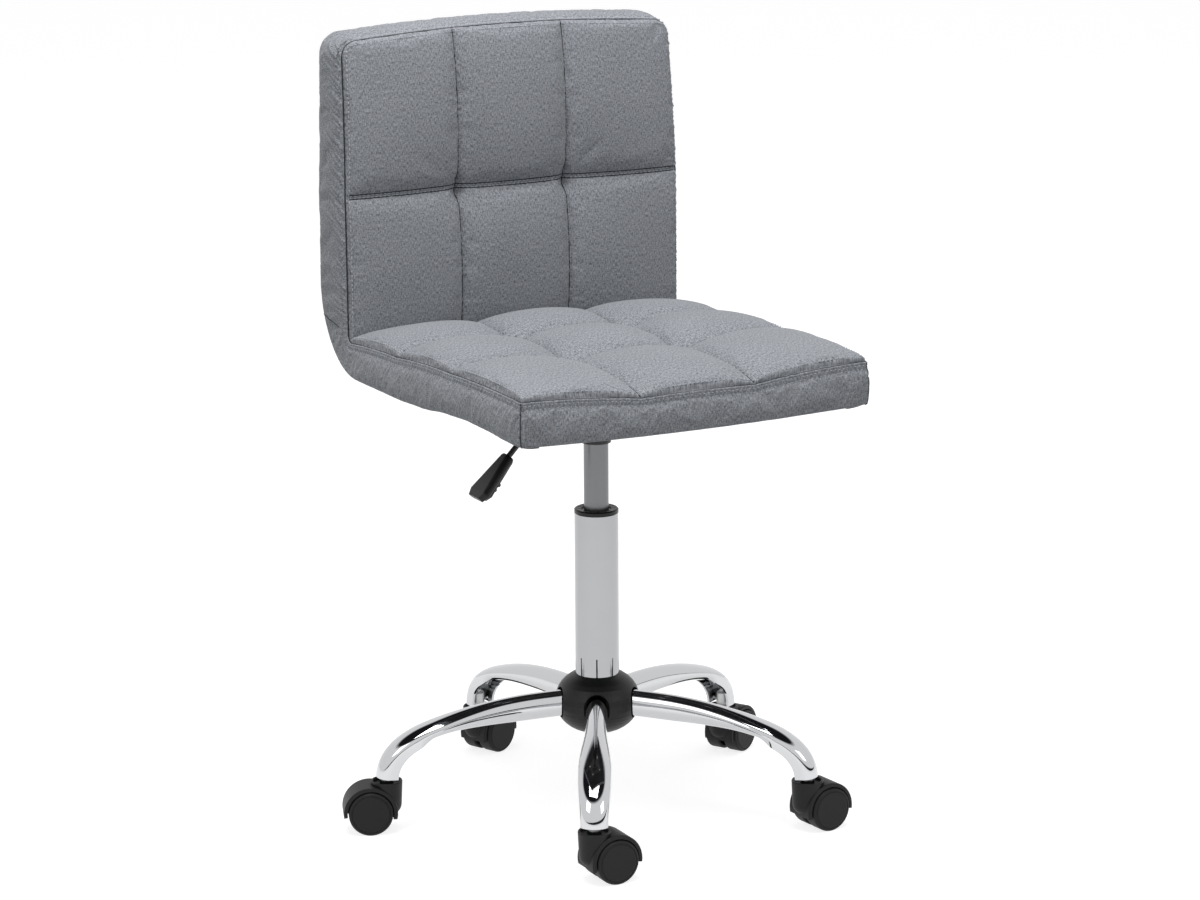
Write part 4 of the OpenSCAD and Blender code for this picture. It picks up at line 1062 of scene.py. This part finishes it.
class CHAIR_OT_rear_panel(bpy.types.Operator):
    """Rear panel: one plain padded cloth over the outside of the back and its bend"""
    bl_idname = "chair.rear_panel"
    bl_label = "Rear panel"

    def execute(self, context):
        s = context.scene.upholstery
        r = s.corner
        run_y, run_z = REAR_FACE - BEND_Y, BEND_Z - hem_height(np.array(BEND_Y))
        start = -math.asin((BEND_Z - REAR_LOW) / run_z)
        arc = run_y * -start
        straight = TOP - BEND_Z
        n = round((arc + straight) / s.cell)
        ds = np.linspace(0, arc + straight, n)
        xs = np.linspace(-s.half, s.half, 2 * round(s.half / s.cell) + 1)
        d, x = [a.ravel() for a in np.meshgrid(ds, xs, indexing="ij")]
        angle = start + np.minimum(d, arc) / run_y
        y = BEND_Y + run_y * np.cos(angle)
        z = BEND_Z + run_z * np.sin(angle) + np.maximum(d - arc, 0)
        normal = np.stack([0 * x, np.cos(angle), np.sin(angle)], 1)
        u, v = (x + s.half) / (2 * s.half), d / (arc + straight)
        swell = 4.2 * MM * np.power(arch(u) * np.power(arch(v), 0.9), 0.35) - 1.2 * MM
        swell = swell + 0.5 * MM * (np.exp(-(s.half - np.abs(x)) / (9 * MM))
                                    * ripple(d, 11 * MM, 3.0))
        a, b = np.abs(x) - (s.half - r), z - (TOP - r)
        inside = (a > 0) & (b > 0)
        ca, cb = rounded_corner(a[inside], b[inside], r)
        px = x.copy()
        px[inside] = np.sign(x[inside]) * (s.half - r + ca)
        z[inside] = TOP - r + cb
        z = z + top_arch(px) * above(z)
        px = stretch(px, s.quilt_x, s.half, back_x(z) - 1 * MM)
        points = np.stack([px, y, z], 1) + normal * swell[:, None]
        edge = (u < 1e-6) | (u > 1 - 1e-6) | (v < 1e-6) | (v > 1 - 1e-6)
        piece = new_object("rear_panel_cloth", points, grid_faces(len(ds), len(xs))[:, ::-1],
                           finish("fabric"), np.stack([x, d], 1))
        inflate(piece, edge, 0.6, 0.01, 10, 1.5 * MM)
        piece.modifiers.new("lining", "SOLIDIFY").thickness = -2.0 * MM
        piece.modifiers.new("smooth", "SUBSURF").render_levels = 1
        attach(piece, "seat")
        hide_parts("rear_panel")
        return {"FINISHED"}


class CHAIR_OT_dust_cover(bpy.types.Operator):
    """Dust cover: black cloth stretched under the shell and held by staples"""
    bl_idname = "chair.dust_cover"
    bl_label = "Dust cover"

    def execute(self, context):
        low_end, high_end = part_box("dust_cover")
        half, front = high_end.x, low_end.y
        radius = BEND_Z - low_end.z
        flat = BEND_Y - front
        arc = radius * (math.pi / 2 - math.asin((BEND_Z - high_end.z) / radius))
        ds = np.linspace(0, flat + arc, 90)
        xs = np.linspace(-half, half, 70)
        d, x = [a.ravel() for a in np.meshgrid(ds, xs, indexing="ij")]
        angle = -np.pi / 2 + np.maximum(d - flat, 0) / radius
        y = np.where(d < flat, front + d, BEND_Y + radius * np.cos(angle))
        z = np.where(d < flat, low_end.z, BEND_Z + radius * np.sin(angle))
        pull = np.sin(x * 210 + np.sin(d * 37) * 2) * np.exp(-np.minimum(d, 1) / 0.03) * 0.5 * MM
        fold_and_painted_shade = np.sin(d * 230) * np.exp(-(half - np.abs(x)) / 0.02) * 0.4 * MM
        points = np.stack([x, y, z + (pull + fold_and_painted_shade) * 0.7], 1)
        piece = new_object("dust_cover_cloth", points, grid_faces(len(ds), len(xs))[:, ::-1],
                           finish("dust_cloth"), np.stack([x, d], 1))
        piece.modifiers.new("thickness", "SOLIDIFY").thickness = -0.5 * MM
        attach(piece, "seat")
        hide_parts("dust_cover")
        staples = [(sx * (half - 5 * MM), front + t * flat, low_end.z, 1)
                   for sx in (-1, 1) for t in np.linspace(0.03, 0.97, 12)]
        staples += [(sx, front + 5 * MM, low_end.z, 0)
                    for sx in np.linspace(-half + 15 * MM, half - 15 * MM, 12)]
        build_staples(staples)
        return {"FINISHED"}


def build_staples(places):
    """Wire staples, each a flat crown with two short legs."""
    wire, crown = 0.6 * MM, 9 * MM
    points, faces = [], []
    for x, y, z, along_y in places:
        path = [(-crown / 2, 1 * MM), (-crown / 2, -1 * MM), (crown / 2, -1 * MM),
                (crown / 2, 1 * MM)]
        base = len(points)
        for a, h in path:
            for dx, dz in ((-wire, -wire), (wire, -wire), (wire, wire), (-wire, wire)):
                across = (0, dx) if not along_y else (dx, 0)
                along = (a, 0) if not along_y else (0, a)
                points.append((x + along[0] + across[0], y + along[1] + across[1], z + h + dz))
        for k in range(len(path) - 1):
            for j in range(4):
                a0, a1 = base + 4 * k + j, base + 4 * k + (j + 1) % 4
                faces.append((a0, a1, a1 + 4, a0 + 4))
        faces += [(base + 3, base + 2, base + 1, base), tuple(base + 12 + j for j in range(4))]
    piece = new_object("dust_cover_staples", points, faces, finish("zinc"), smooth=False)
    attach(piece, "seat")


# ---------------------------------------------------------------- seams
def resample(line, spacing, closed=False):
    """Points at even spacing along a line."""
    pts = np.asarray(line, float)
    if closed:
        pts = np.vstack([pts, pts[:1]])
    length = np.concatenate([[0], np.cumsum(np.linalg.norm(np.diff(pts, axis=0), axis=1))])
    want = np.arange(0, length[-1], spacing)
    return np.stack([np.interp(want, length, pts[:, k]) for k in range(pts.shape[1])], 1)


def stitch_row(line, outward, closed=False):
    """Points and faces of a row of stitches: short threads that dip into the cloth."""
    s = bpy.context.scene.upholstery
    both = np.hstack([line, outward])
    step = s.stitch_length * 1.45
    ends = resample(both, step / 6, closed)
    ring = np.radians(np.arange(0, 360, 60))
    points, faces = [], []
    dips = np.array([-0.9, 0.25, 0.55, 0.25, -0.9]) * s.thread
    for k in range(0, len(ends) - 6, 6):
        part = ends[k:k + 5]
        out = unit(part[:, 3:])
        along = unit(part[-1, :3] - part[0, :3])
        side = unit(np.cross(out, along))
        centre = part[:, :3] + out * dips[:, None]
        base = len(points)
        for c, o, w in zip(centre, out, side):
            for a in ring:
                points.append(c + (o * math.sin(a) + w * math.cos(a)) * s.thread / 2)
        for r in range(4):
            for j in range(6):
                a0, a1 = base + 6 * r + j, base + 6 * r + (j + 1) % 6
                faces.append((a0, a1, a1 + 6, a0 + 6))
        faces.append(tuple(base + 5 - j for j in range(6)))
        faces.append(tuple(base + 24 + j for j in range(6)))
    return points, faces


def merge(parts):
    points, faces = [], []
    for p, f in parts:
        base = len(points)
        points += list(p)
        faces += [tuple(i + base for i in face) for face in f]
    return points, faces


def tube(line, radius, sides=8, closed=False):
    """Points and faces of a round tube along a line."""
    pts = np.asarray(line, float)
    n = len(pts)
    ahead = np.roll(pts, -1, 0) - np.roll(pts, 1, 0) if closed else np.gradient(pts, axis=0)
    ahead = unit(ahead)
    ref = np.where(np.abs(ahead[:, 2:3]) > 0.9, [[1.0, 0, 0]], [[0, 0, 1.0]])
    side = unit(np.cross(ahead, ref))
    up = np.cross(side, ahead)
    a = np.radians(np.arange(0, 360, 360 / sides))
    rings = (pts[:, None] + radius * (np.cos(a)[None, :, None] * side[:, None]
                                      + np.sin(a)[None, :, None] * up[:, None]))
    faces = []
    for k in range(n if closed else n - 1):
        for j in range(sides):
            a0, a1 = k * sides + j, k * sides + (j + 1) % sides
            b = ((k + 1) % n - k) * sides
            faces.append((a0, a1, a1 + b, a0 + b))
    if not closed:
        faces.append(tuple(sides - 1 - j for j in range(sides)))
        faces.append(tuple((n - 1) * sides + j for j in range(sides)))
    return rings.reshape(-1, 3), faces


class CHAIR_OT_seams(bpy.types.Operator):
    """Seams: top stitching along the band, and dark tubes of painted shade down in the grooves"""
    bl_idname = "chair.seams"
    bl_label = "Seams and stitches"

    def execute(self, context):
        s = context.scene.upholstery
        rows = [stitch_row(line, band["out"], closed=True) for line in band["rows"]]
        cols, _ = back_lines()
        xs = np.linspace(-s.half + 5 * MM, s.half - 5 * MM, 260)
        for rise in (0.25, 0.8):
            z = np.full_like(xs, s.quilt_z + rise * s.seam_strip)
            rows.append(stitch_row(back_shape(xs, z), np.tile([0, -1.0, 0], (len(xs), 1))))
        rows += [self.border_row(*back_lines(), back_shape, np.array([0, -1.0, 0])),
                 self.border_row(*self.mirrored(*seat_lines()), self.seat_from_back,
                                 np.array([0, 0, 1.0]))]
        piece = new_object("seam_stitches", *merge(rows), finish("thread"))
        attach(piece, "seat")
        # Painted shade: thin near-black tubes along the bottom of each groove stand for the
        # shadow in the seams.
        edge = band["seam"] + s.groove * (band["down"] - band["out"]) * 0.35
        seam_shade_tubes = [tube(edge, 0.85 * MM, closed=True)]
        cols, rows_y = seat_lines()
        lift = np.array([0, 0, 0.9 * MM])
        for x in cols[1:3]:
            ys = np.linspace(FRONT + 2 * MM, s.face - 2 * MM, 220)
            seam_shade_tubes.append(tube(seat_shape(np.full_like(ys, x), ys) + lift, 0.85 * MM))
        for y in rows_y[1:3]:
            seam_shade_tubes.append(tube(seat_shape(xs, np.full_like(xs, y)) + lift, 0.85 * MM))
        sink = np.array([0, -0.55 * MM, 0])
        for x in cols[1:3]:
            zs = np.linspace(s.junction + 4 * MM, TOP - 2 * MM, 220)
            seam_shade_tubes.append(tube(back_shape(np.full_like(zs, x), zs) + sink, 0.85 * MM))
        for rise in (0, 1):
            z = np.full_like(xs, s.quilt_z + rise * s.seam_strip)
            seam_shade_tubes.append(tube(back_shape(xs, z) + sink, 0.6 * MM))
        for side in (-1, 1):
            seam_shade_tubes.append(self.corner_seam(side))
            seam_shade_tubes.append(self.bend_seam(side))
        piece = new_object("seam_painted_shade", *merge(seam_shade_tubes), finish("fold_and_painted_shade"))
        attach(piece, "seat")
        return {"FINISHED"}

    def border_row(self, cols, lines, shape, out):
        """A row of stitches on the cushion, just inside its border seam."""
        half, inset = cols[-1] - 3.8 * MM, 3.8 * MM
        up = np.linspace(lines[0] + 8 * MM, lines[-1] - inset, 200)
        across = np.linspace(-half, half, 240)[1:-1]
        x = np.concatenate([np.full_like(up, -half), across, np.full_like(up, half)])
        y = np.concatenate([up, np.full_like(across, lines[-1] - inset), up[::-1]])
        line = shape(x, y) + out * 0.35 * MM
        return stitch_row(line, np.tile(out, (len(line), 1)))

    def mirrored(self, cols, lines):
        """The seat's pattern turned round, so that its front border comes last."""
        return cols, [-y for y in lines[::-1]]

    def seat_from_back(self, x, y):
        return seat_shape(x, -y)

    def corner_seam(self, side):
        """The upright seam at the band's front corner, drawn as a dark tube of painted shade."""
        s = bpy.context.scene.upholstery
        at = np.array([side * (s.half + 2 * MM), FRONT - 2 * MM])
        k = int(np.argmin(np.hypot(band["seam"][:, 0] - at[0], band["seam"][:, 1] - at[1])))
        return tube(band["shape"][k, 2:-3] + band["out"][k] * 0.1 * MM, 0.55 * MM)

    def bend_seam(self, side):
        """The slanting seam across the band where the seat turns up into the back, drawn as a
        dark tube of painted shade.
        """
        s = bpy.context.scene.upholstery
        right = band["shape"][:, :, 0].mean(1) * side > 0
        t = np.linspace(0, 1, 24)
        want = np.stack([s.face + (20 + 36 * t) * MM, s.junction + (15 + 9 * t) * MM], 1)
        points = band["shape"][right][:, 2:-3].reshape(-1, 3)
        near = [int(np.argmin(np.hypot(*(points[:, 1:] - w).T))) for w in want]
        line = np.column_stack([points[near, 0] + side * 0.15 * MM, want])
        return tube(line, 0.5 * MM)


# ---------------------------------------------------------------- base
def bezier(points, t):
    a, b, c, d = [np.asarray(p, float) for p in points]
    t = np.asarray(t)[:, None]
    return (1 - t) ** 3 * a + 3 * t * (1 - t) ** 2 * b + 3 * t * t * (1 - t) * c + t ** 3 * d


def leg_rings():
    """Rings of points along a leg that runs out along -Y, from the hub to the toe."""
    s = bpy.context.scene.leg_sizes
    start = s.start
    path = [(start, HUB_Z + 0.5 * MM), (150 * MM, HUB_Z - 2 * MM),
            (s.reach - 3 * MM, HUB_Z - 10 * MM), (s.reach + 0.6 * MM, s.end_z)]
    t = np.concatenate([np.linspace(0, 0.32, 14, endpoint=False), np.linspace(0.32, 1, 70)])
    centre = bezier(path, t)
    ahead = unit(np.gradient(centre, t, axis=0))
    up = np.stack([-ahead[:, 1], ahead[:, 0]], 1)
    first = t < 0.62
    width = np.where(first, s.tube[0] + (s.knee[0] - s.tube[0]) * ease((t - 0.22) / 0.38),
                     s.knee[0] + (s.toe[0] - s.knee[0]) * ease((t - 0.64) / 0.36))
    height = np.where(first, s.tube[1] + (s.knee[1] - s.tube[1]) * ease((t - 0.12) / 0.46),
                      s.knee[1] + (s.toe[1] - s.knee[1]) * ease((t - 0.66) / 0.34))
    press = ease((t - 0.55) / 0.12)
    rings = []
    for c, n, w, h, p in zip(centre, up, width, height, press):
        flat = leg_section(w, h, s.wall, p)
        rings.append(np.stack([flat[:, 0], -(c[0] + n[0] * flat[:, 1]),
                               c[1] + n[1] * flat[:, 1]], 1))
    return np.array(rings)


def leg_section(w, h, wall, press):
    """Section of a leg: an oval tube for press 0 and an open channel for press 1."""
    outer = np.radians(np.linspace(-35, 215, 37))
    inner = np.radians(215 + 110 * np.arange(1, 20) / 20)
    oval = np.vstack([np.stack([w / 2 * np.cos(a), h / 2 * np.sin(a)], 1)
                      for a in (outer, inner)])
    over = np.radians(np.linspace(0, 180, 29))
    side_h = np.array([-0.5, -0.44, -0.32, -0.2])
    right = np.stack([np.full(4, w / 2), side_h * h], 1)
    crown = np.stack([w / 2 * np.cos(over), h * 0.55 * np.sin(over) - h * 0.05], 1)
    left = np.stack([np.full(4, -w / 2), side_h[::-1] * h], 1)
    under = np.radians(np.linspace(180, 0, 17))
    wi, hi = w / 2 - wall, h * 0.55 - wall
    roof = np.stack([wi * np.cos(under), hi * np.sin(under) - h * 0.05], 1)
    mouth = np.array([[-wi, -h / 2], [wi, -h / 2]])
    channel = np.vstack([right, crown, left, mouth[:1], roof, mouth[1:]])
    return oval + (channel - oval) * press


class CHAIR_OT_legs(bpy.types.Operator):
    """Legs: bent chromed tubes, pressed flat at the knee and open below at the end"""
    bl_idname = "chair.legs"
    bl_label = "Legs"

    def execute(self, context):
        rings = leg_rings()
        n = rings.shape[1]
        faces = []
        for r in range(len(rings) - 1):
            for j in range(n):
                a0, a1 = r * n + j, r * n + (j + 1) % n
                faces.append((a0, a0 + n, a1 + n, a1))
        last = (len(rings) - 1) * n
        faces.append(tuple(range(n)))
        half = n - 19
        for k in range(half - 1):
            q = last + n - 1 - round(k * 18 / (half - 1))
            q2 = last + n - 1 - round((k + 1) * 18 / (half - 1))
            face = [last + k + 1, last + k, q, q2]
            faces.append(tuple(dict.fromkeys(face)))
        points = rings.reshape(-1, 3)
        for i in CASTERS:
            x, y = joint(f"caster_swivel_{i}")["pos_m"][:2]
            turn = Matrix.Rotation(math.atan2(x, -y), 3, "Z")
            placed = points @ np.array(turn).T
            piece = new_object(f"leg_tube_{i}", placed, faces, finish("leg_chrome"))
            edge = piece.modifiers.new("edge", "EDGE_SPLIT")
            edge.split_angle = math.radians(50)
            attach(piece, "base")
            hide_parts(f"leg_{i}")
        return {"FINISHED"}


class CHAIR_OT_column(bpy.types.Operator):
    """Column: plated tube, black bush, ground cylinder and what they hold"""
    bl_idname = "chair.column"
    bl_label = "Column and gas lift"

    def execute(self, context):
        paint("column_chrome", "column_tube")
        paint("bush", "guide_bush")
        paint("cylinder", "gas_cylinder")
        paint("rod", "piston_rod")
        paint("zinc", "thrust_bearing", "retaining_clip", "piston")
        paint("rubber", "buffer")
        paint("button", "valve_button")
        return {"FINISHED"}


class CHAIR_OT_hub(bpy.types.Operator):
    """Hub: black covers over the legs' socket"""
    bl_idname = "chair.hub"
    bl_label = "Hub"

    def execute(self, context):
        paint("hub", "hub_cover_upper", "hub_cover_lower")
        paint("powder", "hub_socket")
        return {"FINISHED"}


class CHAIR_OT_seat_fitting(bpy.types.Operator):
    """Seat fitting, lever and what bolts them to the shell"""
    bl_idname = "chair.seat_fitting"
    bl_label = "Seat fitting and lever"

    def execute(self, context):
        paint("powder", "seat_fitting", "lever_rod")
        paint("zinc", "plate_bolts", "t_nuts", "lever_pivot")
        paint("grip", "lever_grip")
        paint("plywood", "seat_shell")
        return {"FINISHED"}


class CHAIR_OT_casters(bpy.types.Operator):
    """Casters: hoods, wheels, stems and the sleeves they stand in"""
    bl_idname = "chair.casters"
    bl_label = "Casters"

    def execute(self, context):
        paint("zinc", "caster_sockets")
        for i in CASTERS:
            paint("zinc", f"caster_stem_{i}", f"caster_axle_{i}")
            paint("hood", f"caster_hood_{i}")
            for side in WHEEL_SIDES:
                paint("wheel", f"wheel_{side}_{i}")
        return {"FINISHED"}


# ---------------------------------------------------------------- stage
class CHAIR_OT_stage(bpy.types.Operator):
    """Stage: camera, pale floor, soft lamps and a white room with a dark ceiling"""
    bl_idname = "chair.stage"
    bl_label = "Camera, floor and light"

    def execute(self, context):
        scene = context.scene
        s = scene.studio
        scene.view_settings.view_transform = "Standard"
        data = bpy.data.cameras.new("camera")
        data.lens, data.sensor_width = s.lens, 36.0
        camera = bpy.data.objects.new("camera", data)
        scene.collection.objects.link(camera)
        place = Vector((-math.sin(s.side) * s.distance, -math.cos(s.side) * s.distance, s.height))
        turn = (Matrix.Rotation(-(s.side + s.pan), 4, "Z")
                @ Matrix.Rotation(math.pi / 2 - s.tilt, 4, "X")
                @ Matrix.Rotation(s.roll, 4, "Z"))
        camera.matrix_world = Matrix.Translation(place) @ turn
        scene.camera = camera
        self.floor(context)
        self.world(scene)
        self.lamps(context)
        return {"FINISHED"}

    def floor(self, context):
        size = 30.0
        points = [(-size, -size, 0), (size, -size, 0), (size, size, 0), (-size, size, 0)]
        material = bpy.data.materials.new("studio_floor_painted_white")
        material.use_nodes = True
        tree = material.node_tree
        tree.nodes.clear()
        path = add(tree, "ShaderNodeLightPath").outputs
        seen = add(tree, "ShaderNodeMath", {0: path["Is Camera Ray"],
                                            1: path["Is Glossy Ray"]}, operation="MAXIMUM")
        through = add(tree, "ShaderNodeMath", {0: seen.outputs[0],
                                               1: path["Is Transmission Ray"]},
                      operation="MAXIMUM")
        paint_coat = add(tree, "ShaderNodeBsdfDiffuse", {"Color": linear("#b4b4b4")})
        glow = add(tree, "ShaderNodeEmission", {"Color": (1, 1, 1, 1), "Strength": 0.8})
        both = add(tree, "ShaderNodeAddShader", {0: paint_coat.outputs[0], 1: glow.outputs[0]})
        mixed = add(tree, "ShaderNodeMixShader", {
            0: through.outputs[0], 1: paint_coat.outputs[0], 2: both.outputs[0]})
        add(tree, "ShaderNodeOutputMaterial", {"Surface": mixed.outputs[0]})
        piece = new_object("studio_floor", points, [(0, 1, 2, 3)], material, smooth=False)

    def world(self, scene):
        """Even white light all round; mirrors see a white room with a dark ceiling."""
        world = bpy.data.worlds.new("studio_room")
        scene.world = world
        world.use_nodes = True
        tree = world.node_tree
        tree.nodes.clear()
        path = add(tree, "ShaderNodeLightPath").outputs
        way = add(tree, "ShaderNodeTexCoord").outputs["Generated"]
        parts = add(tree, "ShaderNodeSeparateXYZ", {"Vector": way}).outputs
        back_of = add(tree, "ShaderNodeMath", {0: parts["Y"], 1: 0.12}, operation="MULTIPLY")
        turned = add(tree, "ShaderNodeMath", {0: parts["Z"], 1: back_of.outputs[0]},
                     operation="ADD")
        height = add(tree, "ShaderNodeMapRange", {"Value": turned.outputs[0], "From Min": -1.0})
        room = add(tree, "ShaderNodeValToRGB", {"Fac": height.outputs[0]})
        dark, bright = (0.012, 0.012, 0.014, 1), (1, 1, 1, 1)
        room.color_ramp.elements[0].color = bright
        room.color_ramp.elements[0].position = 0.0
        room.color_ramp.elements[1].color = dark
        room.color_ramp.elements[1].position = 1.0
        for place, colour in ROOM:
            room.color_ramp.elements.new(place).color = dark if colour else bright
        lit = add(tree, "ShaderNodeBackground", {"Color": (1, 1, 1, 1), "Strength": 0.40})
        white = add(tree, "ShaderNodeBackground", {"Color": (1, 1, 1, 1), "Strength": 1.0})
        mirror = add(tree, "ShaderNodeBackground", {"Color": room.outputs["Color"],
                                                    "Strength": 1.0})
        camera_or = add(tree, "ShaderNodeMixShader", {
            0: path["Is Camera Ray"], 1: lit.outputs[0], 2: white.outputs[0]})
        glossy_or = add(tree, "ShaderNodeMixShader", {
            0: path["Is Glossy Ray"], 1: camera_or.outputs[0], 2: mirror.outputs[0]})
        through = add(tree, "ShaderNodeMixShader", {
            0: path["Is Transmission Ray"], 1: glossy_or.outputs[0], 2: white.outputs[0]})
        add(tree, "ShaderNodeOutputWorld", {"Surface": through.outputs[0]})

    def lamps(self, context):
        """A broad top lamp and a weaker one from the camera's left."""
        middle = (cad_low + cad_high) / 2
        for name, place, size, watts in (
                ("top_lamp", (-0.3, -0.35, 3.0), 1.8, 70.0),
                ("left_lamp", (-2.6, -1.0, 2.1), 1.4, 12.0),
                ("front_lamp", (1.6, -3.0, 1.9), 1.4, 12.0)):
            data = bpy.data.lights.new(name, "AREA")
            data.shape, data.size, data.energy = "SQUARE", size, watts
            lamp = bpy.data.objects.new(name, data)
            context.scene.collection.objects.link(lamp)
            lamp.location = place
            lamp.rotation_mode = "QUATERNION"
            lamp.rotation_quaternion = (middle - Vector(place)).to_track_quat("-Z", "Y")


# Heights in the mirrored room, from straight down (0) to the zenith (1), and whether each is
# dark: a low dark band in front, and a dark ceiling.
ROOM = ((0.438, 0), (0.452, 1), (0.492, 1), (0.506, 0), (0.855, 0), (0.895, 1))

OPERATORS = (CHAIR_OT_stage, CHAIR_OT_seat_cushion, CHAIR_OT_back_cushion, CHAIR_OT_side_band,
             CHAIR_OT_rear_panel, CHAIR_OT_dust_cover, CHAIR_OT_seams, CHAIR_OT_legs,
             CHAIR_OT_hub, CHAIR_OT_column, CHAIR_OT_seat_fitting, CHAIR_OT_casters)
SETTINGS = {"upholstery": UpholsterySizes, "finish_colours": FinishColours,
            "leg_sizes": LegSizes, "studio": StudioSizes}


class CHAIR_PT_panel(bpy.types.Panel):
    """Lists the chair's pieces in the sidebar"""
    bl_idname = "CHAIR_PT_panel"
    bl_label = "Swivel chair"
    bl_space_type = "VIEW_3D"
    bl_region_type = "UI"
    bl_category = "Chair"

    def draw(self, context):
        for operator in OPERATORS:
            self.layout.operator(operator.bl_idname)
        for name in SETTINGS:
            group = getattr(context.scene, name)
            box = self.layout.box()
            for key in group.bl_rna.properties.keys():
                if key not in ("rna_type", "name"):
                    box.prop(group, key)


def register():
    for cls in (*SETTINGS.values(), *OPERATORS, CHAIR_PT_panel):
        bpy.utils.register_class(cls)
    for name, cls in SETTINGS.items():
        setattr(bpy.types.Scene, name, bpy.props.PointerProperty(type=cls))


def unregister():
    for name in SETTINGS:
        delattr(bpy.types.Scene, name)
    for cls in reversed((*SETTINGS.values(), *OPERATORS, CHAIR_PT_panel)):
        bpy.utils.unregister_class(cls)


def main():
    register()
    for operator in OPERATORS:
        group, name = operator.bl_idname.split(".")
        getattr(getattr(bpy.ops, group), name)()


if __name__ == "__main__":
    main()
